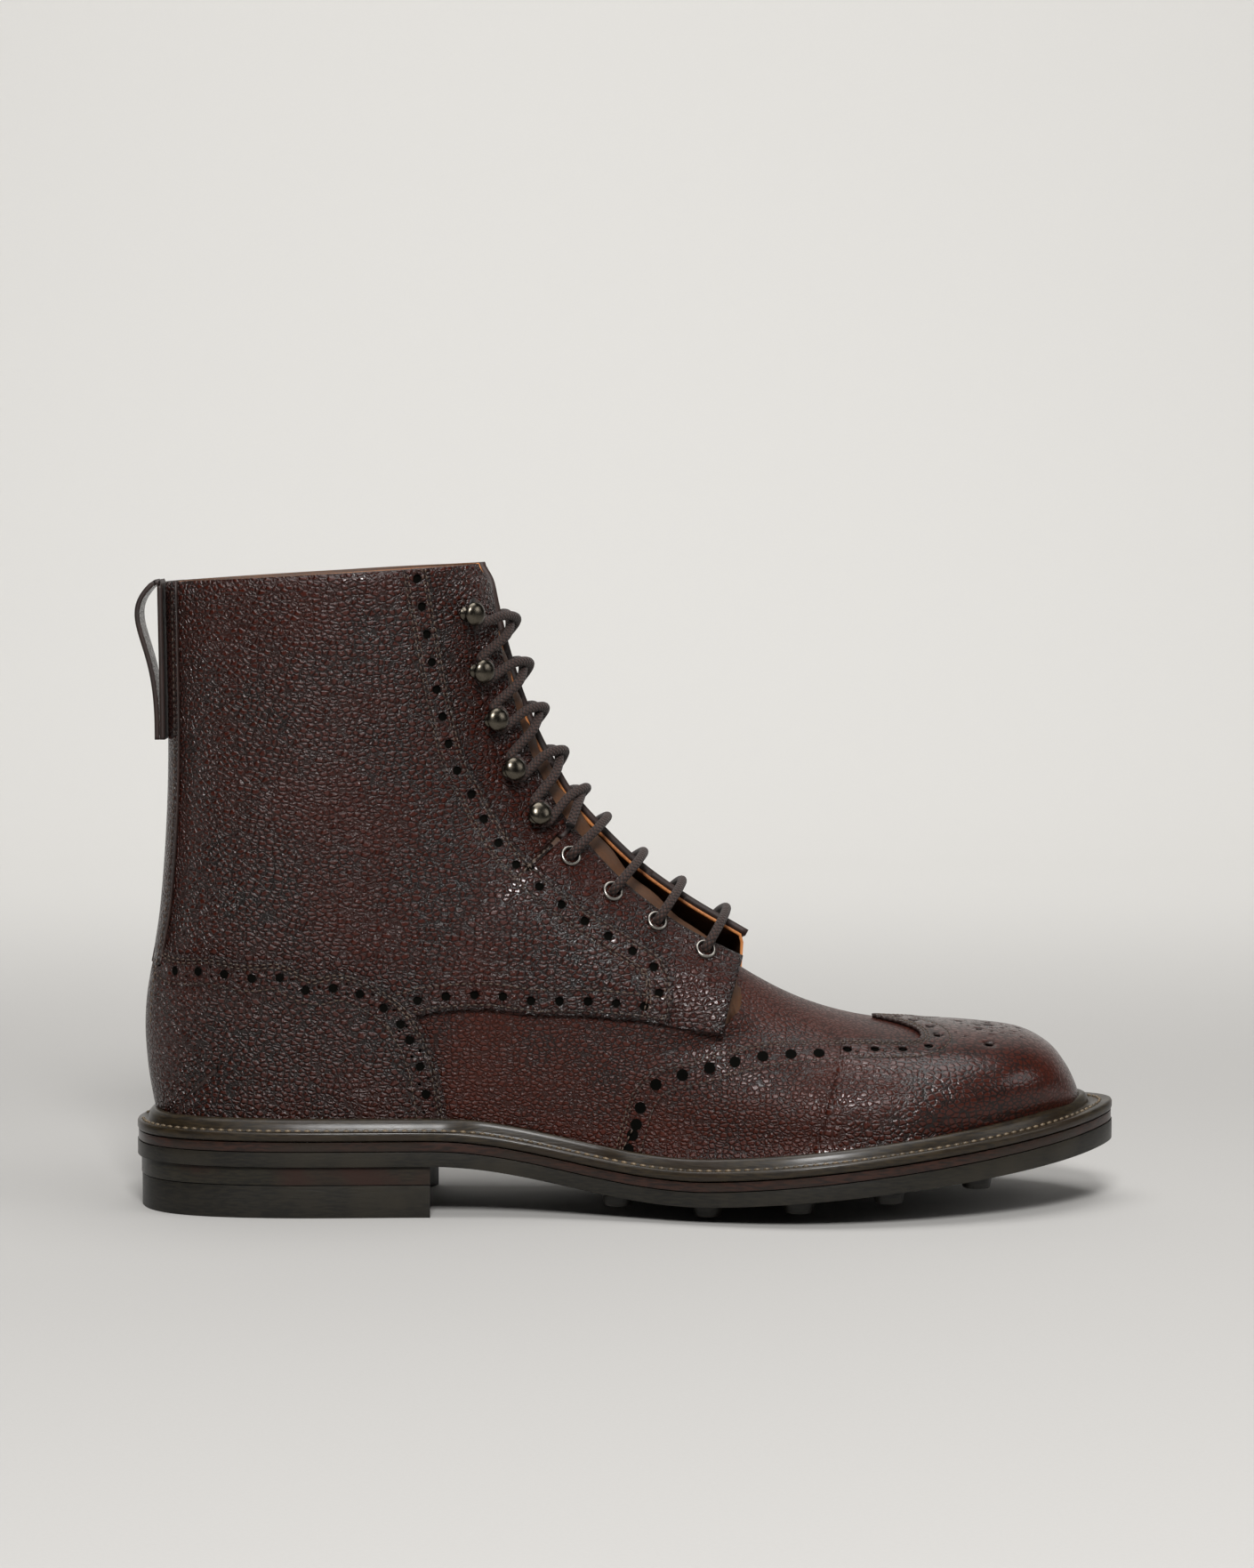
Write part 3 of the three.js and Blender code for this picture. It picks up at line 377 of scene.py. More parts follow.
def knife(bm, inside):
    station, turn = places_of(bm)
    kept = inside(station, turn) > 0
    crossing = [e for e in bm.edges if kept[e.verts[0].index] != kept[e.verts[1].index]]
    if crossing:
        ends = np.array([[v.index for v in e.verts] for e in crossing])
        a = np.stack([station[ends[:, 0]], turn[ends[:, 0]]])
        b = np.stack([station[ends[:, 1]], turn[ends[:, 1]]])
        low, high = np.zeros(len(ends)), np.ones(len(ends))
        for _ in range(9):
            middle = (low + high) / 2
            same = (inside(*(a + (b - a) * middle)) > 0) == kept[ends[:, 0]]
            low, high = np.where(same, middle, low), np.where(same, high, middle)
        share = np.clip((low + high) / 2, 0.02, 0.98)
        fresh = [bmesh.utils.edge_split(e, e.verts[0], f)[1] for e, f in zip(crossing, share)]
        bmesh.ops.connect_verts(bm, verts=fresh)
    centres = np.array([face.calc_center_median()[:2] for face in bm.faces])
    wasted = inside(centres[:, 0], centres[:, 1]) <= 0
    bmesh.ops.delete(bm, geom=[f for f, out in zip(bm.faces, wasted) if out], context="FACES")
    return len(crossing)


def finer_near(bm, near, cuts=2):
    station, turn = places_of(bm)
    chosen = near(station, turn) > 0
    edges = [e for e in bm.edges if chosen[e.verts[0].index] and chosen[e.verts[1].index]]
    bmesh.ops.subdivide_edges(bm, edges=edges, cuts=cuts, use_grid_fill=True)
    return len(edges)


def to_frame(points):
    return (np.asarray(points) - [heel_centre, 0, 0]) * MM


def put(name, data):
    made = bpy.data.objects.new(name, data)
    bpy.context.scene.collection.objects.link(made)
    return made


def mesh_of(name, bm, looks):
    mesh = bpy.data.meshes.new(name)
    for face in bm.faces:
        face.smooth = True
    bm.to_mesh(mesh)
    bm.free()
    for look in looks:
        mesh.materials.append(look)
    return put(name, mesh)


def finish_mesh(name, bm, looks, replaces=()):
    piece = mesh_of(name, bm, looks)
    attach(piece, "root")
    if replaces:
        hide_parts(*replaces)
    print(name, len(piece.data.polygons), "faces")
    return piece


def thicken(piece, wall, offset=-1.0):
    last_look = len(piece.data.materials) - 1
    thick = piece.modifiers.new("thickness", "SOLIDIFY")
    thick.thickness = wall * MM
    thick.offset = offset
    thick.material_offset = min(1, last_look)
    thick.material_offset_rim = min(2, last_look)


def rounded(piece, width, segments=3, limit=50):
    edge = piece.modifiers.new("rounded", "BEVEL")
    edge.width = width * MM
    edge.segments = segments
    edge.limit_method = "ANGLE"
    edge.angle_limit = math.radians(limit)


def last_it(name, bm, height, wall, looks, replaces=(), surface=upper_point, painted_shade=None,
            join_back=False):
    station, turn = places_of(bm)
    normals = outward(surface, station, turn)
    heights = height(station, turn) if callable(height) else np.full(len(station), float(height))
    points = to_frame(surface(station, turn) + normals * heights[:, None])
    # painted_shade: a per-point share of painted shade, which the leather looks blend towards near black
    dark = bm.verts.layers.float.new("painted_shade")
    shade = painted_shade(station, turn) if painted_shade else np.zeros(len(station))
    for vert, point, value in zip(bm.verts, points, shade):
        vert.co = point
        vert[dark] = value
    bm.normal_update()
    facing = sum(f.normal.dot(Vector(normals[f.verts[0].index])) * f.calc_area() for f in bm.faces)
    if facing < 0:
        bmesh.ops.reverse_faces(bm, faces=bm.faces)
    if join_back:
        bmesh.ops.remove_doubles(bm, verts=bm.verts, dist=0.01 * MM)
    thicken(finish_mesh(name, bm, looks, replaces), wall)


# %% [markdown]
# ## Seams
#
# Everything on a brogue follows its seams: the pinked edge, the rows of stitches and the punched holes.
# So a seam is one object that knows its line on the last, and can say of any place how far along it and
# how far from it that place lies. The lines come from short tables of what the photograph shows, seen
# from the side.
# %% A seam and its distances
def tree_of(points):
    tree = KDTree(len(points))
    for k, point in enumerate(points):
        tree.insert(point, k)
    tree.balance()
    return tree


side_grid = {}
for side in sides:
    grid_station, grid_turn = np.meshgrid(
        np.linspace(0, collar_station, 331), np.linspace(0.03, 1, 160) * side, indexing="ij")
    grid_point = upper_point(grid_station, grid_turn).reshape(-1, 3)
    side_grid[side] = (grid_station.ravel(), grid_turn.ravel(), grid_point)


def side_view(station, turn):
    point = upper_point(station, turn)
    height = (point[..., 2] - bed(point[..., 0], 0)) / upper_height
    return np.stack([point[..., 0] / sole_length, height * upper_height / sole_length], axis=-1)


def place_on(side, line):
    aim = np.stack([line["x"], line["z"] * upper_height / sole_length], axis=-1)
    stations, turns, points = side_grid[side]
    seen = np.stack([points[:, 0], points[:, 2] - bed(points[:, 0], 0)], axis=-1) / sole_length
    start = [int(np.argmin(((seen - goal) ** 2).sum(1))) for goal in aim]
    station, turn = stations[start].copy(), turns[start].copy()
    for _ in range(6):
        here = side_view(station, turn)
        by_station = (side_view(station + 0.01, turn) - here) / 0.01
        by_turn = (side_view(station, turn + 0.001) - here) / 0.001
        wanted = aim - here
        det = by_station[:, 0] * by_turn[:, 1] - by_station[:, 1] * by_turn[:, 0]
        det = np.where(np.abs(det) < 1e-7, 1e-7, det)
        ds = (wanted[:, 0] * by_turn[:, 1] - wanted[:, 1] * by_turn[:, 0]) / det
        dt = (by_station[:, 0] * wanted[:, 1] - by_station[:, 1] * wanted[:, 0]) / det
        station = np.clip(station + np.clip(ds, -0.3, 0.3), 0, collar_station)
        turn = np.clip(turn + np.clip(dt, -0.02, 0.02), -1, 1)
    return station, turn


def steps_on(station, turn):
    here = upper_point(station, turn)
    ahead = np.where(station < 21.9, 1, -1)
    by_station = (upper_point(station + 0.01 * ahead, turn) - here) / (0.01 * ahead[..., None])
    inward_turn = -np.sign(turn) + (turn == 0)
    by_turn = (upper_point(station, turn + 0.001 * inward_turn) - here) / (0.001 * inward_turn[..., None])
    return by_station, by_turn


class Seam:
    def __init__(self, station, turn, inside):
        k = np.linspace(0, len(station) - 1, 60 * len(station))
        fine = np.stack([through(np.asarray(station, float), k), through(np.asarray(turn, float), k)])
        arc = arc_of(upper_point(*fine))
        self.arc = np.arange(0, arc[-1], 0.25)
        self.station = np.interp(self.arc, arc, fine[0])
        self.turn = np.interp(self.arc, arc, fine[1])
        self.points = upper_point(self.station, self.turn)
        self.length = float(arc[-1])
        self.along = unit(np.gradient(self.points, axis=0))
        self.inward = np.cross(outward(upper_point, self.station, self.turn), self.along)
        self.tree = tree_of(self.points)
        reference = upper_point(np.array([inside[0]], float), np.array([inside[1]], float))[0]
        nearest = self.tree.find(reference)[1]
        if np.dot(reference - self.points[nearest], self.inward[nearest]) < 0:
            self.inward = -self.inward

    def read(self, station, turn):
        points = upper_point(station, turn)
        nearest = np.array([self.tree.find(point)[1] for point in points])
        away = points - self.points[nearest]
        side = np.sign((away * self.inward[nearest]).sum(1))
        along = self.arc[nearest] + (away * self.along[nearest]).sum(1)
        return along, side * np.linalg.norm(away, axis=1)

    def row(self, depth, pitch, start=0.0, keep=None):
        station, turn = self.station.copy(), self.turn.copy()
        count = max(1, int(math.ceil(abs(depth) / 1.2)))
        for _ in range(count):
            by_station, by_turn = steps_on(station, turn)
            goal = self.inward * depth / count
            aa, ab, bb = (by_station ** 2).sum(1), (by_station * by_turn).sum(1), (by_turn ** 2).sum(1)
            ga, gb = (goal * by_station).sum(1), (goal * by_turn).sum(1)
            det = aa * bb - ab * ab
            station = np.clip(station + (ga * bb - gb * ab) / det, 0, collar_station)
            turn = np.clip(turn + (gb * aa - ga * ab) / det, -1, 1)
        reach = np.abs(self.read(station, turn)[1])
        good = reach > abs(depth) * 0.93 - 0.05
        station, turn = station[good], turn[good]
        arc = arc_of(upper_point(station, turn))
        wanted = np.arange(start, arc[-1], pitch)
        station, turn = np.interp(wanted, arc, station), np.interp(wanted, arc, turn)
        kept = keep(station, turn) if keep else slice(None)
        return station[kept], turn[kept]


# %% The seam lines
wing_side = table(["x", "z"], [
    [0.486, 0.00], [0.490, 0.080], [0.505, 0.155], [0.532, 0.200], [0.583, 0.230], [0.637, 0.236],
    [0.695, 0.225], [0.735, 0.214],
])
lower_side = table(["x", "z"], [
    [0.255, 0.200], [0.308, 0.222], [0.361, 0.235], [0.409, 0.240], [0.456, 0.258], [0.518, 0.269],
    [0.567, 0.262], [0.598, 0.254],
])
counter_side = table(["x", "z"], [
    [-0.012, 0.329], [0.037, 0.327], [0.082, 0.320], [0.124, 0.312], [0.164, 0.309], [0.204, 0.296],
    [0.243, 0.281], [0.274, 0.248], [0.293, 0.208], [0.307, 0.160], [0.316, 0.100], [0.321, 0.040],
    [0.323, -0.01],
])
brogue_edge = table(["station", "turn"], [
    [10.9, 0.60], [11.12, 0.34], [11.34, 0.27], [11.55, 0.243], [12.0, 0.225], [14.0, 0.227], [17.0, 0.222],
    [18.0, 0.232], [19.4, 0.242], [20.8, 0.266], [22.0, 0.295],
])
wing_over_toe = table(["station", "turn"], [
    [7.05, 0.165], [6.95, 0.125], [7.1, 0.075], [7.4, 0.034], [7.72, 0.0],
])

outer_station, outer_turn = place_on(-1, wing_side)
inner_station, inner_turn = place_on(1, wing_side)
toe_station, toe_turn = wing_over_toe["station"], wing_over_toe["turn"]
wing = Seam(np.concatenate([outer_station, toe_station, toe_station[-2::-1], inner_station[::-1]]),
            np.concatenate([outer_turn, -toe_turn, toe_turn[-2::-1], inner_turn[::-1]]), inside=(4.0, 0.0))
lower = {s: Seam(*place_on(s, lower_side), inside=(16.0, 0.4 * s)) for s in sides}
counter = {s: Seam(*place_on(s, counter_side), inside=(17.5, 0.93 * s)) for s in sides}
front = {s: Seam(brogue_edge["station"], s * brogue_edge["turn"], inside=(15.0, 0.6 * s)) for s in sides}
print("wing", round(wing.length), "lower", round(lower[-1].length), "counter", round(counter[-1].length))

# %% [markdown]
# ## Leather, rubber, metal and lace
#
# Pebbled leather is a skin of small domes with creases between them. Cell noise gives both: the
# distance to a cell's edge is the height, and the same value paints shade into the creases, near black. The
# pattern reads the object's own coordinates, so it keeps its real size of under two millimetres on every
# panel. An image would tile and smear.
# %% Node helpers
class Look:
    def __init__(self, name):
        self.material = bpy.data.materials.new(name)
        self.material.use_nodes = True
        self.tree = self.material.node_tree
        self.tree.nodes.clear()
        output = self.tree.nodes.new("ShaderNodeOutputMaterial")
        self.shader = self.tree.nodes.new("ShaderNodeBsdfPrincipled")
        self.tree.links.new(self.shader.outputs[0], output.inputs[0])
        self.place = self.node("TexCoord", output="Object")

    def plug(self, target, values):
        for name, value in values.items():
            if hasattr(value, "is_output"):
                self.tree.links.new(value, target.inputs[name])
            else:
                target.inputs[name].default_value = value

    def node(self, kind, values=None, output=0, **settings):
        made = self.tree.nodes.new("ShaderNode" + kind)
        for name, value in settings.items():
            setattr(made, name, value)
        self.plug(made, values or {})
        return made.outputs[output]

    def noise(self, scale, detail, place=None, output="Fac", **more):
        where = self.place if place is None else place
        return self.node("TexNoise", {"Vector": where, "Scale": scale, "Detail": detail, **more}, output)

    def blend(self, share, low, high):
        return self.node("Mix", {0: share, 6: low, 7: high}, 2, data_type="RGBA")

    def ramp(self, value, start, end, low=0.0, high=1.0):
        values = {"Value": value, "From Min": start, "From Max": end, "To Min": low, "To Max": high}
        return self.node("MapRange", values, interpolation_type="SMOOTHSTEP")

    def total(self, a, b):
        return self.node("Math", {0: a, 1: b}, operation="ADD")

    def times(self, a, b):
        return self.node("Math", {0: a, 1: b}, operation="MULTIPLY")

    def bump(self, height, relief, strength, sockets=("Normal",)):
        made = self.node("Bump", {"Height": height, "Strength": strength, "Distance": relief * MM})
        self.plug(self.shader, {name: made for name in sockets})

    def surface(self, values):
        self.plug(self.shader, values)
        return self.material


def linear(*colour):
    return tuple(((c / 255 + 0.055) / 1.055) ** 2.4 if c > 10 else c / 255 / 12.92 for c in colour) + (1,)


# %% Leather looks
def pebbled_leather(name, crease, pebble, warm, cell=1.75, relief=0.6, rough=0.38, coat=0.65, coat_rough=0.13,
                    toe_fade=True):
    look = Look(name)
    wobble = look.noise(900.0, 2.0, output="Color")
    shifted = look.node("VectorMath", {0: wobble, 1: (0.5, 0.5, 0.5)}, operation="SUBTRACT")
    shifted = look.node("VectorMath", {0: shifted, 3: 0.0009}, operation="SCALE")
    moved = look.node("VectorMath", {0: look.place, 1: shifted}, operation="ADD")
    moved = look.node("Mapping", {"Vector": moved, "Scale": (0.78, 1.0, 1.15)})
    cells = look.node("TexVoronoi", {"Vector": moved, "Scale": 1000 / cell, "Randomness": 0.95}, "Distance",
                      feature="DISTANCE_TO_EDGE")
    height = look.total(look.ramp(cells, 0.0, 0.3), look.times(look.noise(2600.0, 3.0), 0.05))
    broad = look.noise(26.0, 3.0, Roughness=0.6)
    strength = look.ramp(broad, 0.3, 0.75, 0.75, 1.0)
    if toe_fade:
        forward = look.node("SeparateXYZ", {"Vector": look.place}, "X")
        upward = look.node("SeparateXYZ", {"Vector": look.node("NewGeometry", output="Normal")}, "Z")
        toward_toe = look.ramp(forward, 0.175, 0.235, 1.0, 0.16)
        on_top = look.ramp(upward, 0.55, 0.93, 1.0, 0.3)
        strength = look.times(strength, look.times(toward_toe, on_top))
    look.bump(height, relief, strength, ("Normal", "Coat Normal"))
    # Painted shade: the creases between the pebbles are painted near black
    tone = look.blend(look.ramp(cells, 0.02, 0.22), crease, pebble)
    tone = look.blend(look.ramp(broad, 0.35, 0.7, 0.0, 0.45), tone, warm)
    # Painted shade: the painted_shade attribute blends the colour towards near black
    painted_shade_share = look.node("Attribute", output="Fac", attribute_name="painted_shade")
    return look.surface({
        "Base Color": look.blend(painted_shade_share, tone, linear(8, 5, 4)),
        "Roughness": look.ramp(cells, 0.0, 0.25, rough + 0.25, rough),
        "Specular IOR Level": 0.12, "Coat Weight": coat, "Coat Roughness": coat_rough})


def plain_leather(name, dark, light, grain=0.5, relief=0.08, rough=0.6, shine=0.5):
    look = Look(name)
    fine = look.noise(1000 / grain, 5.0, Roughness=0.6)
    both = look.total(look.times(fine, 0.5), look.times(look.noise(45.0, 3.0), 0.5))
    look.bump(fine, relief, 0.7)
    return look.surface({
        "Base Color": look.blend(look.ramp(both, 0.35, 0.65), dark, light),
        "Roughness": look.ramp(fine, 0.3, 0.7, rough - 0.08, rough + 0.1), "Specular IOR Level": shine})


def metal_look(name, colour, rough):
    look = Look(name)
    haze = look.noise(700.0, 4.0)
    dim = tuple(c * 0.6 for c in colour[:3]) + (1,)
    return look.surface({
        "Base Color": look.blend(haze, colour, dim),
        "Roughness": look.ramp(haze, 0.3, 0.7, rough, rough + 0.12), "Metallic": 1.0})


# The first colour of each leather is the painted shade of its creases
quarter_look = pebbled_leather(
    "burgundy_pebble", linear(7, 3, 2), linear(50, 15, 6), linear(62, 18, 6), relief=0.8, toe_fade=False)
vamp_look = pebbled_leather(
    "burgundy_vamp", linear(16, 6, 4), linear(56, 20, 10), linear(68, 24, 11), cell=1.5, relief=0.4,
    rough=0.45, coat=0.35, coat_rough=0.25)
cap_look = pebbled_leather(
    "burgundy_cap", linear(13, 5, 3), linear(54, 19, 10), linear(66, 23, 11), relief=0.5, coat=0.5,
    coat_rough=0.2)
lining_look = plain_leather("tan_lining", linear(128, 74, 34), linear(176, 110, 54), grain=0.7, rough=0.55)
# Painted shade: a darker brown copy of the tan lining, for insides and undersides that lie in shade
shade_look = plain_leather("lining_painted_shade", linear(52, 31, 16), linear(84, 52, 27), grain=0.7)
edge_look = plain_leather("cut_edge", linear(20, 12, 9), linear(44, 24, 17), grain=0.4)
thread_look = plain_leather(
    "thread", linear(34, 27, 22), linear(84, 66, 52), grain=0.25, relief=0.05, rough=0.5)
# Painted shade: the near-black backing seen through the punched holes
dark_look = plain_leather("shadow_cloth", linear(3, 3, 2), linear(9, 8, 6), grain=0.4, rough=0.95, shine=0.05)
print("leather looks ready")

# %% [markdown]
# ## Base leathers: lining and vamp
#
# The lining is the innermost skin and runs from toe to collar. The vamp lies over it, and everything else
# is laid on these two. Each is the whole flat leather with the throat and the hidden parts cut away.
# %% Lining and vamp
def throat_gap(station, turn, grow=0.0):
    point = last_point(station, turn)
    behind = np.where(np.abs(turn) < 0.5, 0, ball_width)
    corner = collar_corner * smooth(collar_station - 0.7, collar_station, station) ** 2
    half = mix(throat_half, throat_half_top, smooth(throat_station + 1, throat_station + 5, station))
    return np.abs(point[..., 1] - throat_middle) + behind - half - corner - grow


def lower_height(station, turn):
    seen = side_view(station, turn)
    line = np.interp(seen[..., 0], lower_side["x"], lower_side["z"])
    return seen[..., 1] * sole_length - line * upper_height


def vamp_point(station, turn):
    station, turn = same_shape(station, turn)
    under_facing = smooth(0.2, 0.34, np.abs(turn)) * smooth(-1.6, 0.1, station - facing_front(turn))
    flat_station, flat_turn = station.ravel(), turn.ravel()
    clear_of_wing = smooth(2, 10, -wing.read(flat_station, flat_turn)[1]).reshape(station.shape)
    return raised_last(station, turn, full_lift(station, turn) * under_facing * clear_of_wing)


def lining_inside(station, turn):
    throat = np.maximum(throat_gap(station, turn, -0.4), throat_station - 0.35 - station)
    lifted = full_lift(station, turn) > 0.2
    under_vamp = np.where(lifted & (station > 8.6), lower_height(station, turn) - 3, 9.0)
    return np.minimum(throat, under_vamp)


flat = flat_leather((0, collar_station), (-1, 1), finer=0.55)
knife(flat, lining_inside)
# The lining's faces take the painted-shade brown; only its cut rim shows the tan
last_it("lining", flat, -1.25, 0.95, [shade_look, shade_look, lining_look], ["upper"],
        join_back=True)

flat = flat_leather((5.6, 17.4), (-1, 1))
knife(flat, lambda s, t: np.maximum(11.2 - s, 9 - lower_height(s, t)))
last_it("vamp", flat, 0.0, 1.2, [vamp_look, shade_look], surface=vamp_point)

# %% [markdown]
# ## Punched and pinked panels
#
# The broguing is cut work: a saw-toothed edge, a row of big holes with pairs of small ones between, and a
# row of stitches on each side of them. The leather near a seam gets a finer grid first, then the knife
# cuts teeth and holes as true openings. A bump would show no thickness at the holes' walls.
# %% Brogue helpers
TOOTH = 2.3
TOOTH_DEPTH = 0.55
HOLE_PITCH = 8.9
HOLE_RADIUS = 1.35
PIN_RADIUS = 0.52
STITCH_PITCH = 2.1
FAR_AWAY = np.full((1, 3), 1e6)
wide_band = {"hole": 5.7, "rows": (1.8, 2.9, 9.6), "end": 11.4}
slim_band = {"hole": 4.4, "rows": (1.4, 8.0), "end": 9.6}


def fading(distance, reach):
    return np.exp(-np.maximum(0, distance) / reach)


def along_rows(depth, rows, width):
    return sum(np.exp(-((depth - row) / width) ** 2) for row in rows)


def distance_to(tree, points):
    return np.array([tree.find(point)[2] for point in points])


def seam_holes(seam, start):
    holes = seam.row(wide_band["hole"], HOLE_PITCH, start)
    pins = [seam.row(wide_band["hole"] + shift, HOLE_PITCH, start + HOLE_PITCH / 2) for shift in (-1.5, 1.5)]
    return holes, np.concatenate([upper_point(*places) for places in pins])


def punched(measure, band, big, pins=FAR_AWAY, pinked=True):
    big_tree, pin_tree = tree_of(big), tree_of(pins)

    def to_rim(station, turn):
        return distance_to(big_tree, upper_point(station, turn)) - HOLE_RADIUS

    def inside(station, turn):
        along, depth = measure(station, turn)
        tooth = np.abs(2 * ((along / TOOTH) % 1) - 1) * TOOTH_DEPTH if pinked else 0.0
        pin_rim = distance_to(pin_tree, upper_point(station, turn)) - PIN_RADIUS
        return np.minimum.reduce([depth - tooth, to_rim(station, turn), pin_rim])

    def near(station, turn):
        depth = measure(station, turn)[1]
        pins_near = 1.6 - distance_to(pin_tree, upper_point(station, turn))
        return np.maximum(np.minimum(band["end"] - depth, depth + 2.5), pins_near)

    def relief(station, turn):
        depth = measure(station, turn)[1]
        dip = 0.22 * along_rows(depth, band["rows"], 0.55)
        return -dip - 0.3 * fading(depth, 0.5) - 0.25 * fading(to_rim(station, turn), 0.45)

    # Painted shade: darker along the stitch rows, along the panel's dipped edge and round the hole rims,
    # where the relief sinks
    def painted_shade(station, turn):
        depth = measure(station, turn)[1]
        rims = 0.8 * fading(depth, 0.7) + 0.5 * fading(to_rim(station, turn), 0.25)
        return np.clip(0.55 * along_rows(depth, band["rows"], 0.6) + rims, 0, 0.92)

    return inside, near, relief, painted_shade


STITCH_SIZE = (0.85 * MM, 0.275 * MM, 0.275 * MM)
BACKING_SIZE = ((HOLE_RADIUS + 0.5) * MM, (HOLE_RADIUS + 0.5) * MM, MM)
stitches = bmesh.new()
backing = bmesh.new()


def matrix_at(point, along, normal, scale):
    across = np.cross(normal, along)
    made = Matrix.Identity(4)
    for k, column in enumerate((along * scale[0], across * scale[1], normal * scale[2])):
        for row in range(3):
            made[row][k] = column[row]
    for row in range(3):
        made[row][3] = point[row]
    return made


def sew(station, turn, height):
    points = on_leather(station, turn, height)
    normals = outward(upper_point, station, turn)
    if len(points) < 3:
        return 0
    along = np.gradient(points, axis=0)
    along = unit(along - normals * (along * normals).sum(1, keepdims=True))
    for point, ahead, normal in zip(to_frame(points), along, normals):
        place = matrix_at(point, ahead, normal, STITCH_SIZE)
        bmesh.ops.create_icosphere(stitches, subdivisions=1, radius=1, matrix=place)
    return len(points)


def back_holes(places, height):
    station, turn = places
    normals = outward(upper_point, station, turn)
    points = to_frame(on_leather(station, turn, height))
    along = unit(np.cross(normals, [0.0, 0.0, 1.0]))
    for point, ahead, normal in zip(points, along, normals):
        place = matrix_at(point, ahead, normal, BACKING_SIZE)
        bmesh.ops.create_circle(backing, cap_ends=True, segments=12, radius=1, matrix=place)


def sew_rows(seam, height, rows, keep=None):
    return sum(sew(*seam.row(depth, STITCH_PITCH, 0.8, keep), height) for depth in rows)


print("brogue tools ready")

# %% [markdown]
# ## The wing cap
#
# The toe cap sweeps back on both sides in two wings and comes to a point in the middle. Its top carries a
# medallion of small holes, here a plain rosette with two scrolls.
# %% Toe cap
CAP_HEIGHT = 1.5
MEDALLION_X = 273.0
MEDALLION_Y = 4.0
wing_holes, wing_pins = seam_holes(wing, 4.0)


def medallion_place(forward, sideways):
    crest_station = np.linspace(3, 9, 300)
    crest_x = last_point(crest_station, np.zeros(300))[:, 0]
    x = MEDALLION_X + forward
    station = np.interp(-x, -crest_x, crest_station)
    turn = np.zeros(len(station))
    for _ in range(5):
        here = last_point(station, turn)
        wide = (last_point(station, turn + 0.01)[:, 1] - here[:, 1]) / 0.01
        turn = np.clip(turn + (MEDALLION_Y + sideways - here[:, 1]) / wide, -0.45, 0.45)
        station = station + (last_point(station, turn)[:, 0] - x) / 14.0
    return station, turn


rosette = [(0.0, 0.0, 1)]
for reach, number, first in ((5.2, 8, 0.0), (9.5, 14, 0.2)):
    angles = np.linspace(first, 2 * math.pi + first, number + 1)[:-1]
    rosette += [(reach * math.cos(a), reach * math.sin(a), 0) for a in angles]
rosette += [(k * 3.0 - 12, side * (14 + 4.5 * math.sin(k * 0.8)), 0) for k in range(8) for side in sides]
rosette += [(-2.0, 20.5 * side, 1) for side in sides]
forward, sideways, big = (np.array(column, float) for column in zip(*rosette))
rose_station, rose_turn = medallion_place(forward, sideways)
rose_points = upper_point(rose_station, rose_turn)
cap_big = np.concatenate([upper_point(*wing_holes), rose_points[big > 0]])
cap_pins = np.concatenate([wing_pins, rose_points[big == 0]])
inside, near, relief, painted_shade = punched(wing.read, wide_band, cap_big, cap_pins)
flat = flat_leather((0, 8.2), (-1, 1))
finer_near(flat, near)
knife(flat, inside)
last_it("toe_cap_leather", flat, lambda s, t: CAP_HEIGHT + relief(s, t), 1.3, [cap_look, edge_look],
        ["toe_cap"], painted_shade=painted_shade)
print("stitches on the wing", sew_rows(wing, 1.35, wide_band["rows"]))
back_holes(wing_holes, 0.15)
back_holes((rose_station, rose_turn), 0.15)

# %% [markdown]
# ## The sides: facings and quarters
#
# The facings carry the eyelets and hooks and stand open over the tongue. Each quarter lies on its facing
# and runs round the ankle to the back seam, with a punched band along its front and its lower edge. They
# are two layers on the real boot and two layers here, so the step between them casts its own fine shadow.
# %% Facings
# Painted shade: the facing darkens towards its throat edge and its front edge
def facing_painted_shade(station, turn):
    edge = throat_gap(station, turn)
    front_edge = (station - facing_front(turn)) * 12
    return 0.85 * fading(np.minimum(edge, front_edge), 0.8)


def facing_inside(side):
    def inside(station, turn):
        under_quarter = 5 - front[side].read(station, turn)[1]
        parts = (throat_gap(station, turn), (station - facing_front(turn)) * 12, under_quarter,
                 lower_height(station, turn))
        return np.minimum.reduce(parts)
    return inside


for side, name in named_sides:
    flat = flat_leather((9.6, collar_station), (0.01, 0.62) if side > 0 else (-0.62, -0.01), finer=1.3)
    knife(flat, facing_inside(side))
    last_it(f"facing_{name}", flat, facing_leather, 2.2, [quarter_look, shade_look, edge_look],
            painted_shade=facing_painted_shade)

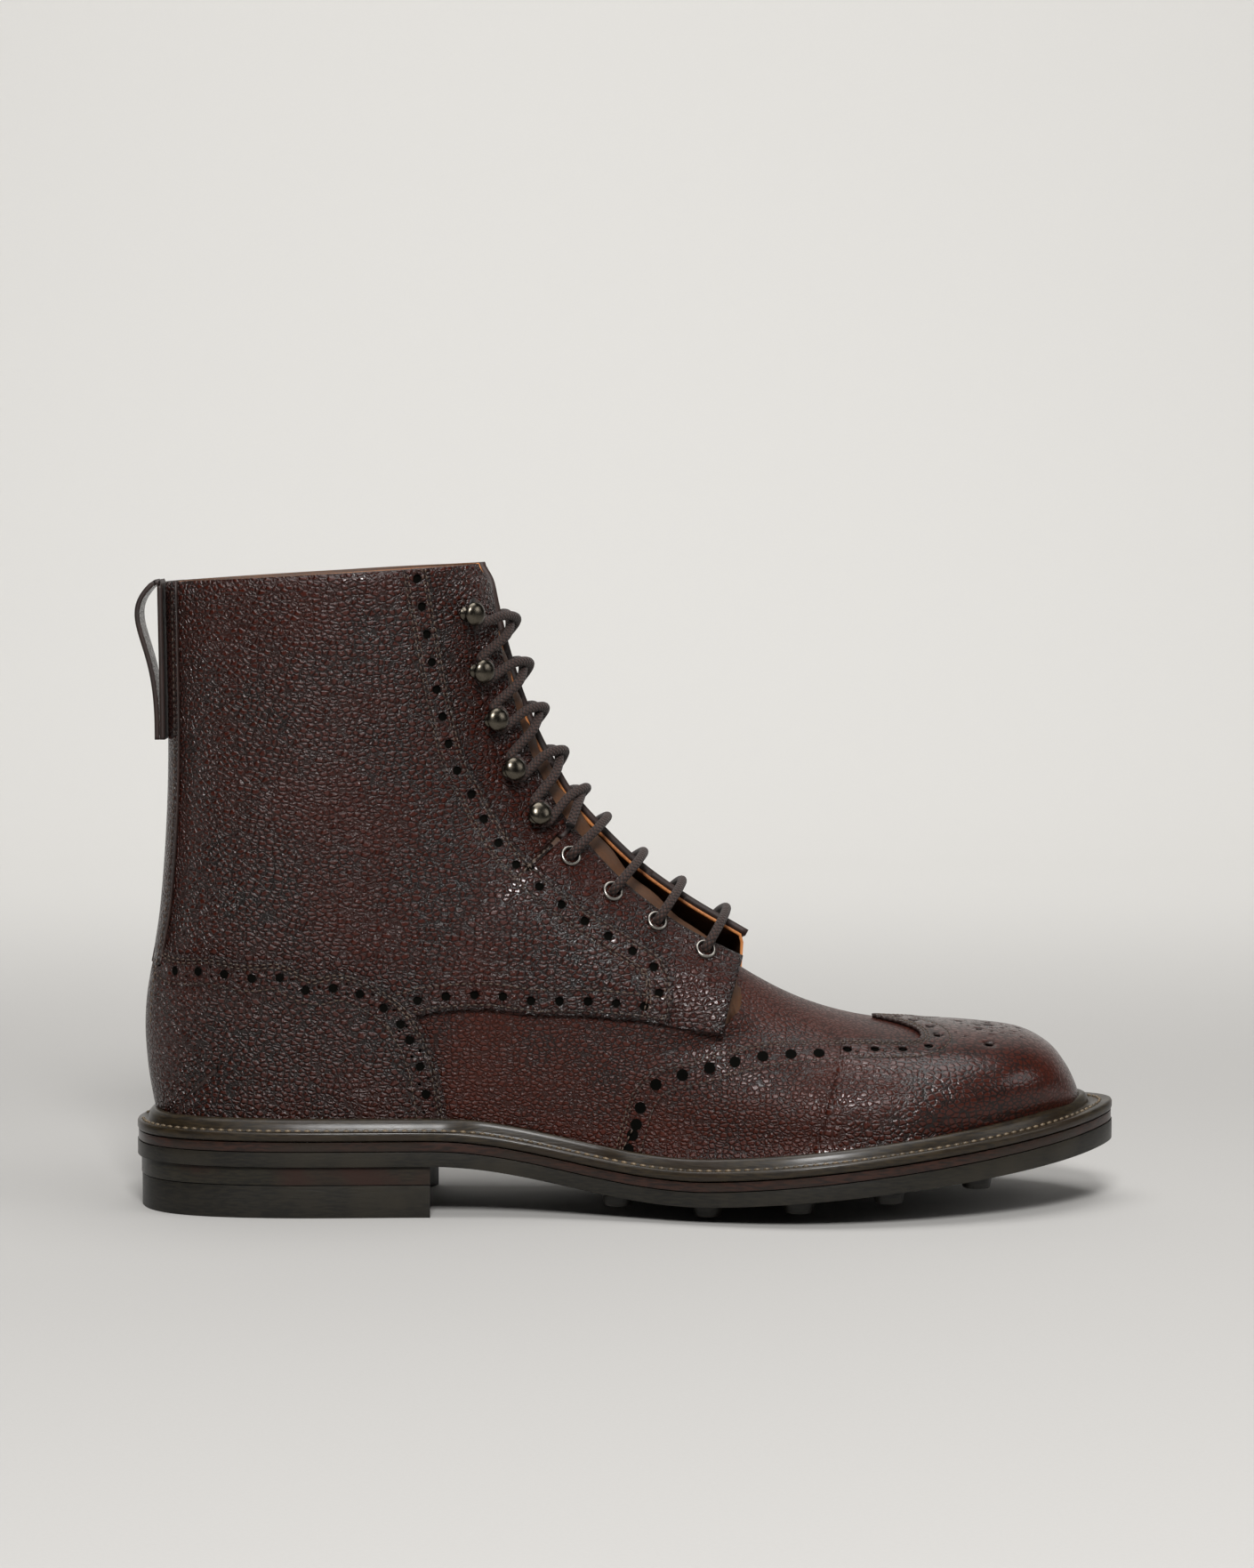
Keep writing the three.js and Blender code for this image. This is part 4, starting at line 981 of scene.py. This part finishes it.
# %% Quarters
for side, name in named_sides:
    seam = front[side]

    def quarter_depth(station, turn, seam=seam):
        along, depth = seam.read(station, turn)
        return along, np.minimum(depth, lower_height(station, turn))

    hole_depth = slim_band["hole"]
    holes = tuple(np.concatenate(pair) for pair in zip(
        seam.row(hole_depth, HOLE_PITCH, 6.0, lambda s, t: lower_height(s, t) > hole_depth - 0.5),
        lower[side].row(hole_depth, HOLE_PITCH, 4.0, lambda s, t: seam.read(s, t)[1] > hole_depth + 3.5)))
    inside, near, relief, painted_shade = punched(quarter_depth, slim_band, upper_point(*holes), pinked=False)
    flat = flat_leather((10.5, collar_station), (0.18, 1) if side > 0 else (-1, -0.18))
    finer_near(flat, near)
    knife(flat, inside)
    last_it(f"quarter_{name}", flat, lambda s, t: facing_leather + quarter_leather + relief(s, t), 1.0,
            [quarter_look, edge_look], painted_shade=painted_shade)
    sewn = sew_rows(seam, 1.75, (1.4, 2.5, 7.2, 8.3), keep=lambda s, t: lower_height(s, t) > 1.0)
    sewn += sew_rows(lower[side], 1.75, (1.4, 8.0), keep=lambda s, t: seam.read(s, t)[1] > 1.0)
    back_holes(holes, 1.05)
    print("stitches on quarter", name, sewn, "holes", len(holes[0]))

# %% [markdown]
# ## Heel: counter and backstay
#
# The counter wraps the heel in one piece. Its flat pattern is cut across the back of the map, where the
# two ends of the turn meet, and joined there after it is lasted. The backstay covers the quarters' back
# seam above it.
# %% Counter
COUNTER_HEIGHT = 2.5
BACKSTAY_HEIGHT = 2.9


def counter_depth(station, turn):
    outer, inner = (counter[side].read(station, turn) for side in sides)
    return tuple(np.where(turn > 0, b, a) for a, b in zip(outer, inner))


counter_holes, counter_pins = [], []
for side in sides:
    places, pins = seam_holes(counter[side], 4.5 if side < 0 else 5.5)
    counter_holes.append(places)
    counter_pins.append(pins)
    print("stitches on the counter", sew_rows(counter[side], 2.35, wide_band["rows"]))
counter_holes = tuple(np.concatenate(pair) for pair in zip(*counter_holes))
counter_pins = np.concatenate(counter_pins)
inside, near, relief, painted_shade = punched(counter_depth, wide_band, upper_point(*counter_holes), counter_pins)
flat = flat_leather((12.0, 19.6), (-1, 1))
knife(flat, lambda s, t: np.abs(t) - 0.45)
finer_near(flat, near)
knife(flat, lambda s, t: np.where(np.abs(t) < 0.46, -1, inside(s, t)))
last_it("counter_leather", flat, lambda s, t: COUNTER_HEIGHT + relief(s, t), 1.2, [quarter_look, edge_look],
        ["counter"], painted_shade=painted_shade, join_back=True)
back_holes(counter_holes, 2.0)


# %% Backstay
def backstay_inside(station, turn):
    point = upper_point(station, turn)
    under_counter = 5 - counter_depth(station, turn)[1]
    return np.minimum.reduce([11 - np.abs(point[:, 1]), (np.abs(turn) - 0.5) * 50, under_counter])


# Painted shade: the backstay darkens at its edge and along its stitch row
def backstay_painted_shade(station, turn):
    edge = 11 - np.abs(upper_point(station, turn)[:, 1])
    return np.clip(0.8 * fading(edge, 0.7) + 0.5 * along_rows(edge, [1.8], 0.6), 0, 0.9)


flat = flat_leather((17.05, collar_station), (-1, 1), finer=1.5)
knife(flat, backstay_inside)
last_it("backstay_leather", flat, BACKSTAY_HEIGHT, 0.95, [quarter_look, edge_look],
        ["backstay"], painted_shade=backstay_painted_shade, join_back=True)
for side in sides:
    stay_station = np.linspace(18.6, 21.95, 60)
    turns = np.linspace(0.5, 1, 400)
    widths = [np.abs(upper_point(s, side * turns)[:, 1]) for s in stay_station]
    edges = np.array([np.interp(-9.2, -width, turns) for width in widths])
    arc = arc_of(upper_point(stay_station, side * edges))
    marks = np.arange(0.5, arc[-1], STITCH_PITCH)
    sew(np.interp(marks, arc, stay_station), side * np.interp(marks, arc, edges), 2.85)
print("backstay sewn")

# %% [markdown]
# ## Pull loop, tongue and insole
#
# The pull loop is one strap folded over the collar's back. A strip of grid follows the fold and gets the
# strap's thickness. The tongue is a broad leaf under the laces.
# %% Pull loop
def sheet_of(rows):
    along, across = rows.shape[:2]
    bm = bmesh.new()
    bmesh.ops.create_grid(bm, x_segments=along - 1, y_segments=across - 1, size=1)
    points = to_frame(rows)
    for vert in bm.verts:
        i = round((vert.co.x + 1) / 2 * (along - 1))
        j = round((vert.co.y + 1) / 2 * (across - 1))
        vert.co = points[i, j]
    return bm


def strip(name, rows, wall, looks, replaces, offset=-1.0):
    bm = sheet_of(rows)
    bm.normal_update()
    thicken(finish_mesh(name, bm, looks, replaces), wall, offset)


def loop_line():
    def back(station):
        return on_leather(station, 1.0, 3.2)

    levels = np.linspace(heel_station, collar_station, 400)
    heights = back(levels)[:, 2]
    bottom = np.interp(heights[-1] - 50, heights, levels)
    k = np.linspace(0, 1, 48)
    seat = back(mix(bottom, collar_station, k))
    lean = np.sin(math.pi * k ** 3) * 5.6
    inner = seat[:, [0, 2]] - [0.85, 0]
    outer = np.stack([seat[:, 0] - 2.55 - lean, seat[:, 2]], axis=-1)
    turn_over = np.linspace(0, math.pi, 9)[1:-1]
    centre = (inner[-1] + outer[-1]) / 2
    radius = np.linalg.norm(inner[-1] - outer[-1]) / 2
    over = centre + radius * np.stack([np.cos(turn_over), np.sin(turn_over)], axis=-1) - [0, 1]
    return np.concatenate([inner, over, outer[::-1]])


line = loop_line()
width = np.linspace(-7.5, 7.5, 13)
rows = np.stack([np.stack([np.full(13, x), width, np.full(13, z)], axis=-1) for x, z in line])
strip("pull_loop_strap", rows, 1.5, [quarter_look, edge_look], ["pull_loop"], offset=0.0)


# %% Tongue
def tongue_rows(across=37):
    made = []
    turns = np.linspace(-0.49, 0.49, 400)
    for station in np.linspace(9.8, 21.6, 90):
        line = last_point(station, turns)
        turn = np.interp(line[200, 1] + np.linspace(-25, 25, across), line[:, 1], turns)
        lift = float(section(np.array([station]))["lift"][0]) * smooth(10.6, 11.8, station)
        middle = 1 - (np.linspace(-1, 1, across)) ** 2
        under = min(-0.3, lift - 4.0)
        crease = 0.5 * math.sin(station * 5.2) * smooth(11, 12, station)
        made.append(raised_last(station, turn, under + middle * crease))
    return np.array(made)


strip("tongue_leather", tongue_rows(), 2.2, [vamp_look, shade_look], ["tongue"])


# %% Insole
def both_edges(places, inset, extra):
    return [np.stack(edge_point(side, place, inset, extra), axis=-1) for side, place in zip(sides, places)]


def between(edges, count):
    share = np.linspace(0, 1, count)[None, :, None]
    return edges[0][:, None] + (edges[1] - edges[0])[:, None] * share


def at_height(flat, height):
    return np.concatenate([flat, height(flat[..., 0], flat[..., 1])[..., None]], axis=-1)


insole_places = np.linspace(0, plan_last, 110)
insole = between(both_edges([insole_places] * 2, 1, 6.0), 15)
strip("insole_leather", at_height(insole, lambda x, y: bed(x, y) + 3.0), 2.4, [lining_look],
      ["insole"])

# %% [markdown]
# ## The storm welt and the sole
#
# A welt is a strip that runs all round the boot: a flat ledge with big stitches and a raised rib against
# the upper. Its section is drawn once, and the strip is that section swept along the sole's edge. The
# layers below are plates with the same edge line, so the sole reads as stacked leather over rubber.
# %% Sole looks
def layered_look(name, dark, light, patch, rough):
    look = Look(name)
    flat = look.node("Mapping", {"Vector": look.place, "Scale": (0.16, 0.16, 1.0)})
    layers = look.noise(1600.0, 4.0, flat)
    broad = look.noise(38.0, 4.0)
    look.bump(layers, 0.12, 0.6)
    tone = look.blend(look.ramp(layers, 0.35, 0.66), dark, light)
    return look.surface({
        "Base Color": look.blend(look.ramp(broad, 0.48, 0.68), tone, patch),
        "Roughness": look.ramp(broad, 0.3, 0.7, rough, rough - 0.18),
        "Specular IOR Level": 0.25, "Coat Weight": 0.2, "Coat Roughness": 0.25})


welt_look = layered_look("welt_leather", linear(24, 18, 10), linear(44, 35, 21), linear(36, 27, 18), 0.5)
sole_edge_look = layered_look("sole_edge", linear(25, 15, 11), linear(48, 27, 19), linear(34, 26, 19), 0.45)
rubber_look = layered_look("tread_rubber", linear(16, 14, 10), linear(29, 26, 19), linear(36, 32, 24), 0.6)
heel_look = layered_look("heel_lifts", linear(20, 18, 12), linear(35, 31, 21), linear(40, 22, 15), 0.5)


# %% Welt
WELT_STITCH_PITCH = 3.05
WELT_STITCH_SIZE = (1.2 * MM, 0.6 * MM, 0.5 * MM)


def feather_inset(place):
    return welt_width * through(plan["inset"], place, plan["inset"][1], plan["inset"][-2])


def rib_reach(x):
    share = x / sole_length
    return 2.4 + 2.6 * (1 - smooth(0.314, 0.354, share)) + 1.2 * smooth(0.47, 0.5, share)


def welt_rows():
    share = np.linspace(0, 1, 201)
    rib_top = welt_thick + rib_height
    even = plan_last * mix(share, (1 - np.cos(math.pi * share)) / 2, 0.3)
    rings = []
    for side, places in ((-1, even[:-1]), (1, even[:0:-1])):
        edge_x = edge_point(side, places)[0]
        inner = feather_inset(places) - 0.9
        reach = rib_reach(edge_x)
        ledge = inner - reach
        groove = ledge - 0.3
        profile = [
            (0.25, 0.1), (0.0, 0.7), (0.0, welt_thick - 0.8), (0.35, welt_thick - 0.2), (1.1, welt_thick),
            (ledge * 0.5, welt_thick + 0.05), (groove - 0.9, welt_thick), (groove, welt_thick - 0.5),
            (groove + 0.35, welt_thick + 0.6), (ledge + reach * 0.12, welt_thick + 2.2),
            (ledge + reach * 0.3, rib_top - 0.5), (ledge + reach * 0.52, rib_top),
            (ledge + reach * 0.8, rib_top - 0.3), (inner + 0.4, rib_top - 1.5), (inner + 0.4, 0.1),
        ]
        ring = []
        for inset, height in profile:
            x, y = edge_point(side, places, 0, np.broadcast_to(inset, places.shape))
            ring.append(np.stack([x, y, bed(x, y) + height], axis=-1))
        rings.append(np.stack(ring, axis=1))
    return np.concatenate(rings)


def closed_ring(rows):
    rows = np.concatenate([rows, rows[:1]])
    bm = sheet_of(np.concatenate([rows, rows[:, :1]], axis=1))
    bmesh.ops.remove_doubles(bm, verts=bm.verts, dist=0.01 * MM)
    bmesh.ops.recalc_face_normals(bm, faces=bm.faces)
    return bm


finish_mesh("welt_strip", closed_ring(welt_rows()), [welt_look], ["welt"])


def welt_stitches():
    made = bmesh.new()
    fine = np.linspace(0.35, plan_last - 0.001, 4000)
    for side in sides:
        edge_x = edge_point(side, fine)[0]
        inset = (feather_inset(fine) - 0.9 - rib_reach(edge_x)) * 0.52
        x, y = edge_point(side, fine, 0, inset)
        line = np.stack([x, y, bed(x, y) + welt_thick + 0.15], axis=-1)
        arc = arc_of(line)
        marks = np.arange(0.5, arc[-1], WELT_STITCH_PITCH)
        spots = np.stack([np.interp(marks, arc, line[:, k]) for k in range(3)], axis=-1)
        for point, along in zip(to_frame(spots), unit(np.gradient(spots, axis=0))):
            up = np.cross(np.cross(along, [0.0, 0.0, 1.0]), along)
            place = matrix_at(point, along, up, WELT_STITCH_SIZE)
            bmesh.ops.create_icosphere(made, subdivisions=1, radius=1, matrix=place)
    return made


welt_thread = plain_leather("welt_thread", linear(52, 44, 32), linear(118, 100, 76), grain=0.3, rough=0.45)
finish_mesh("welt_stitches", welt_stitches(), [welt_thread])


# %% Sole plates
def plate(name, low, high, look, replaces, bevel, extra=0.0, end=None, hollow=0.0):
    if end is None:
        last = [plan_last, plan_last]
        steps = np.linspace(0, 1, 150)
    else:
        fine = np.linspace(0, 8, 3000)
        last = [np.interp(end, edge_point(side, fine)[0], fine) for side in sides]
        steps = np.linspace(0, 1, 60) ** 1.3
    flat = between(both_edges([stop * steps for stop in last], 0.0, extra), 17)
    bow = 1 - np.linspace(-1, 1, 17) ** 2
    flat[..., 0] -= hollow * bow * (np.linspace(0, 1, len(steps)) ** 3)[:, None]
    tops = at_height(flat, high)
    bottoms = to_frame(at_height(flat, low)).reshape(-1, 3)
    tree = tree_of(to_frame(tops).reshape(-1, 3))
    bm = sheet_of(tops)
    bmesh.ops.remove_doubles(bm, verts=bm.verts, dist=0.005 * MM)
    grown = bmesh.ops.extrude_face_region(bm, geom=bm.faces[:] + bm.edges[:] + bm.verts[:])
    for part in grown["geom"]:
        if isinstance(part, bmesh.types.BMVert):
            part.co = bottoms[tree.find(part.co)[1]]
    bmesh.ops.recalc_face_normals(bm, faces=bm.faces)
    rounded(finish_mesh(name, bm, [look], replaces), bevel)


def level(height):
    return lambda x, y: x * 0 + height


plate("midsole_layer", midsole_low, midsole_top, sole_edge_look, ["midsole"], 0.55, extra=0.3)
plate("outsole_rubber", sole_under, outsole_top, rubber_look, ["outsole"], 0.7)
plate("heel_lift_leather", level(top_piece + gap), level(heel_height - gap), heel_look,
      ["heel_lift"], 0.5, extra=heel_inset, end=heel_length, hollow=breast_hollow)
plate("heel_top_piece", level(0), level(top_piece), rubber_look, ["top_piece"], 0.8,
      extra=heel_inset + 0.2, end=heel_length, hollow=breast_hollow)


# %% Studs
STUD_ROW_FIRST = 153.85
STUD_ROW_PITCH = 28.15
STUD_ROW_END = 293.0
STUD_SPACING = 17
STUD_TIP = 4.3


def studs():
    made = bmesh.new()
    for x in np.arange(STUD_ROW_FIRST, STUD_ROW_END, STUD_ROW_PITCH):
        low, high = float(feather_y(-1, x)), float(feather_y(1, x))
        number = max(1, round((high - low - 2 * stud_radius) / STUD_SPACING))
        for k in range(number + 1):
            y = mix(low + 2.5, high - 2.5, k / number)
            under = float(sole_under(np.float64(x), np.float64(y)))
            bottom = max(0.0, under - stud_height) if under - stud_height >= 1.1 else 0.0
            place = Matrix.Translation(Vector(to_frame([x, y, (under + 0.4 + bottom) / 2])))
            bmesh.ops.create_cone(
                made, cap_ends=True, segments=24, radius1=STUD_TIP * MM, radius2=stud_radius * MM,
                depth=(under + 0.4 - bottom) * MM, matrix=place)
    return made


rounded(finish_mesh("tread_studs", studs(), [rubber_look]), 0.5, segments=2, limit=30)

# %% [markdown]
# ## Eyelets and hooks
#
# Both are turned metal: a half section spun round its axis. The eyelet is a thin ring with a throat, the
# hook is a domed button on a neck, as a speed hook looks from the side.
# %% Turned hardware
def hardware_place(station, side):
    turn = side * (lacing_turn + hook_spread * smooth(18, 22, station))
    return on_leather(station, turn, facing_leather), outward(upper_point, station, turn)


def turned(profile, station, side):
    point, normal = hardware_place(station, side)
    bm = bmesh.new()
    verts = [bm.verts.new((radius * MM, 0, height * MM)) for radius, height in profile]
    edges = [bm.edges.new(pair) for pair in zip(verts, verts[1:])]
    bmesh.ops.spin(bm, geom=verts + edges, axis=(0, 0, 1), cent=(0, 0, 0), steps=32, angle=2 * math.pi,
                   use_merge=True)
    bmesh.ops.remove_doubles(bm, verts=bm.verts, dist=0.001 * MM)
    along = unit(np.cross(normal, [0.0, 1.0, 0.2]))
    bmesh.ops.transform(bm, matrix=matrix_at(to_frame(point), along, normal, (1, 1, 1)), verts=bm.verts)
    bmesh.ops.recalc_face_normals(bm, faces=bm.faces)
    return bm


eyelet_profile = [
    (2.55, -3.0), (2.2, -2.6), (2.15, 0.2), (2.35, 0.75), (2.75, 1.02), (3.2, 0.9), (3.4, 0.5), (3.38, 0.05),
    (2.8, 0.0), (2.62, -0.6), (2.6, -2.8), (2.55, -3.0),
]
hook_profile = [
    (0.0, 0.2), (2.3, 0.2), (2.1, 0.6), (1.35, 0.95), (1.25, 2.6), (1.4, 4.4), (2.6, 4.75), (3.55, 4.9),
    (3.8, 5.25), (3.62, 5.8), (3.05, 6.35), (2.2, 6.75), (1.2, 6.98), (0.0, 7.05),
]
ring_look = metal_look("eyelet_metal", linear(150, 145, 138), 0.25)
hook_look = metal_look("hook_metal", linear(96, 90, 80), 0.2)
hardware = [("eyelet", "ring", eyelet_stations, eyelet_profile, ring_look),
            ("hook", "button", hook_stations, hook_profile, hook_look)]
for side, name in named_sides:
    for kind, part, stations, profile, look in hardware:
        for k, station in enumerate(stations, 1):
            finish_mesh(f"{kind}_{part}_{name}_{k}", turned(profile, station, side), [look],
                        [f"{kind}_{name}_{k}"])


# %% [markdown]
# ## Laces
#
# The lace is a round braid. A circle is extruded along a smooth line, and its UV map counts turns round
# and millimetres along, so the braid's diagonal strands follow every bend.
# %% Laces
def braid_look():
    look = Look("lace_braid")
    uv = look.node("UVMap", uv_map="braid")
    u, v = (look.node("SeparateXYZ", {"Vector": uv}, axis) for axis in "XY")
    waves = []
    for slope in (0.62, -0.62):
        slanted = look.total(look.times(u, 5.0), look.times(v, slope))
        wave = look.node("Math", {0: look.times(slanted, math.pi)}, operation="SINE")
        waves.append(look.node("Math", {0: wave}, operation="ABSOLUTE"))
    height = look.times(*waves)
    fuzz = look.noise(3500.0, 3.0)
    look.bump(look.total(height, look.times(fuzz, 0.3)), 0.3, 0.9)
    # Painted shade: the braid turns near black in the grooves between its strands
    tone = look.blend(look.ramp(height, 0.0, 0.6), linear(9, 6, 5), linear(56, 36, 29))
    return look.surface({
        "Base Color": look.blend(look.times(fuzz, 0.35), tone, linear(24, 15, 12)),
        "Roughness": 0.62, "Sheen Weight": 0.06, "Specular IOR Level": 0.25})


lace_look = braid_look()


def smooth_line(points):
    points = np.asarray(points, float)
    chord = np.sqrt(np.linalg.norm(np.diff(points, axis=0), axis=1))
    knots = np.concatenate([[0], np.cumsum(chord)])
    slopes = np.gradient(points, knots, axis=0)
    fine = []
    for k in range(len(points) - 1):
        h = knots[k + 1] - knots[k]
        t = np.linspace(0, 1, 16, endpoint=k == len(points) - 2)[:, None]
        fine.append((2 * t ** 3 - 3 * t ** 2 + 1) * points[k] + (t ** 3 - 2 * t ** 2 + t) * h * slopes[k]
                    + (3 * t ** 2 - 2 * t ** 3) * points[k + 1] + (t ** 3 - t ** 2) * h * slopes[k + 1])
    line = np.concatenate(fine)
    arc = arc_of(line)
    marks = np.linspace(0, arc[-1], int(arc[-1] / 0.5))
    return np.stack([np.interp(marks, arc, line[:, k]) for k in range(3)], axis=-1), marks


def sweep(bm, points, segments=14):
    line, marks = smooth_line(points)
    uv = bm.loops.layers.uv.get("braid") or bm.loops.layers.uv.new("braid")
    ahead = unit(np.gradient(line, axis=0))
    side = np.cross(ahead[0], [0.3, 0.1, 1.0])
    first = bmesh.ops.create_circle(bm, cap_ends=False, segments=segments, radius=1)["verts"]
    ring = sorted(first, key=lambda v: math.atan2(v.co.y, v.co.x))
    angles = [math.atan2(v.co.y, v.co.x) for v in ring]
    rings = [ring]
    frames = []
    for direction in ahead:
        side = unit(side - direction * np.dot(side, direction))
        frames.append((side, np.cross(direction, side)))
    edges = list({e for v in ring for e in v.link_edges})
    for k in range(1, len(line)):
        grown = bmesh.ops.extrude_edge_only(bm, edges=edges)["geom"]
        fresh = {v for v in grown if isinstance(v, bmesh.types.BMVert)}
        edges = [e for e in grown if isinstance(e, bmesh.types.BMEdge) and all(v in fresh for v in e.verts)]
        partner = {}
        for vert in fresh:
            for edge in vert.link_edges:
                other = edge.other_vert(vert)
                if other not in fresh:
                    partner[other] = vert
        rings.append([partner[v] for v in rings[-1]])
    for row, point, (a, b) in zip(rings, line, frames):
        for vert, angle in zip(row, angles):
            vert.co = to_frame(point + lace_radius * (a * math.cos(angle) + b * math.sin(angle)))
    turn_of = {v: (k / segments, m) for row, m in zip(rings, marks) for k, v in enumerate(row)}
    bm.faces.ensure_lookup_table()
    for face in {f for row in rings for v in row for f in v.link_faces}:
        turns = [turn_of[loop.vert][0] for loop in face.loops]
        wraps = max(turns) - min(turns) > 0.5
        for loop, turn in zip(face.loops, turns):
            loop[uv].uv = (turn + 1 if wraps and turn < 0.5 else turn, turn_of[loop.vert][1])
    for row in (rings[0], rings[-1]):
        bm.faces.new(row)
    return marks[-1]


def over_throat(station, turn, height):
    return on_leather(station, turn, facing_leather + height)


lace_lengths = []
for k, station in enumerate(eyelet_stations):
    bm = bmesh.new()
    dip = [[1.0, -4.0], [1.0, -0.6], [0.985, 1.5], [0.9, 2.7], [0.75, 3.0], [0.5, 2.9]]
    lateral = [over_throat(station, -share * lacing_turn, height) for share, height in dip]
    medial = [over_throat(station, share * lacing_turn, height) for share, height in dip]
    lace_lengths.append(sweep(bm, lateral + [over_throat(station, 0, 2.7)] + medial[::-1]))
    bmesh.ops.recalc_face_normals(bm, faces=bm.faces)
    finish_mesh(f"lace_over_{k + 1}", bm, [lace_look], [f"lace_bar_{k + 1}"])


def over_hooks(first_side):
    start = eyelet_stations[-1] + 0.4
    rest = lace_radius + 0.9
    ring = 1.3 + lace_radius + 0.9
    points = [over_throat(start, first_side * lacing_turn * 0.8, rest + 1)]
    side = first_side
    came = start
    for station in hook_stations:
        high = rest + lace_radius if side > 0 else rest - lace_radius / 2
        points.append(over_throat(mix(came, station, 0.3), side * lacing_turn * 0.5, rest + gap))
        points.append(over_throat(mix(came, station, 0.5), 0, high))
        points.append(over_throat(mix(came, station, 0.7), -side * lacing_turn * 0.5, rest + gap))
        side = -side
        point, normal = hardware_place(station, side)
        along = hardware_place(station + 0.3, side)[0] - hardware_place(station - 0.3, side)[0]
        along = unit(along - normal * np.dot(along, normal))
        away = np.cross(along, normal) * -side
        for angle in (-1.3, -0.45, 0.45, 1.3):
            round_neck = ring * (along * math.sin(angle) + away * math.cos(angle))
            points.append(point + normal * (rest + 0.8) + round_neck)
        came = station
    return points


bm = bmesh.new()
for side in sides:
    lace_lengths.append(sweep(bm, over_hooks(side)))
bmesh.ops.recalc_face_normals(bm, faces=bm.faces)
finish_mesh("lace_over_hooks", bm, [lace_look], ["lace_crossings"])
print("lace that shows, mm", [round(v) for v in lace_lengths])

# %% [markdown]
# ## Stitches and the shaded backing behind the holes
#
# All panel stitches are one mesh of tiny ovals, and small near-black discs close the view through the punched
# holes: a backing painted near black as the shade inside the holes.
# %% Thread and backing
finish_mesh("panel_stitches", stitches, [thread_look])
finish_mesh("hole_backing", backing, [dark_look])

# %% [markdown]
# ## Studio: floor, light and camera
#
# The photograph has a pale floor that fades into a pale wall, one big soft light from above, and a weaker
# one from the toe's side. The floor and wall are one swept sheet, so no line shows where they meet.
# %% Studio
def backdrop():
    bm = bmesh.new()
    bend = [(1.2 + 0.7 * math.sin(a), 0.7 * (1 - math.cos(a))) for a in np.linspace(0, math.pi / 2, 14)]
    verts = [bm.verts.new((-3.0, y, z)) for y, z in [(-2.2, 0.0)] + bend + [(1.9, 3.2)]]
    edges = [bm.edges.new(pair) for pair in zip(verts, verts[1:])]
    grown = bmesh.ops.extrude_edge_only(bm, edges=edges)["geom"]
    bmesh.ops.translate(bm, vec=(6.0, 0, 0), verts=[v for v in grown if isinstance(v, bmesh.types.BMVert)])
    look = Look("studio_paper")
    paper = look.noise(900.0, 3.0)
    back, up = (look.node("SeparateXYZ", {"Vector": look.place}, axis) for axis in "YZ")
    # Painted shade: the floor part of the sweep is painted much darker than the wall, so the brightly lit
    # floor comes out as pale as the wall
    floor_tone = look.blend(paper, linear(168, 166, 163), linear(172, 170, 167))
    wall_tone = look.blend(paper, linear(232, 230, 226), linear(235, 233, 229))
    tone = look.blend(look.ramp(look.total(back, up), 0.2, 1.3), floor_tone, wall_tone)
    mesh_of("backdrop", bm, [look.surface({"Base Color": tone, "Roughness": 0.9})])


def turn_to(thing, place, aim):
    thing.location = place
    thing.rotation_euler = (Vector(aim) - Vector(place)).to_track_quat("-Z", "Y").to_euler()


def area_light(name, place, aim, size, power):
    data = bpy.data.lights.new(name, "AREA")
    data.size = size
    data.energy = power
    turn_to(put(name, data), place, aim)


backdrop()
boot_middle = (0.1, 0.0, 0.08)
area_light("key_softbox", (0.15, -1.35, 1.15), boot_middle, 0.42, 38)
area_light("top_softbox", (0.25, -0.2, 1.5), boot_middle, 1.1, 10)
area_light("toe_softbox", (1.45, -0.4, 0.7), boot_middle, 0.6, 4)
area_light("wall_wash", (0.0, 0.3, 2.2), (0.1, 1.9, 0.4), 1.8, 34)
world = bpy.data.worlds.new("studio")
world.use_nodes = True
sky = world.node_tree.nodes["Background"].inputs
sky[0].default_value = (0.95, 0.96, 1.0, 1)
sky[1].default_value = 0.03
scene = bpy.context.scene
scene.world = world
scene.view_settings.view_transform = "Standard"
scene.view_settings.exposure = -0.3

camera = bpy.data.cameras.new("camera")
camera.lens = 98.4
eye = put("camera", camera)
turn_to(eye, (0.1127, -1.3636, 0.231), (0.1127, 0, 0.134))
scene.camera = eye
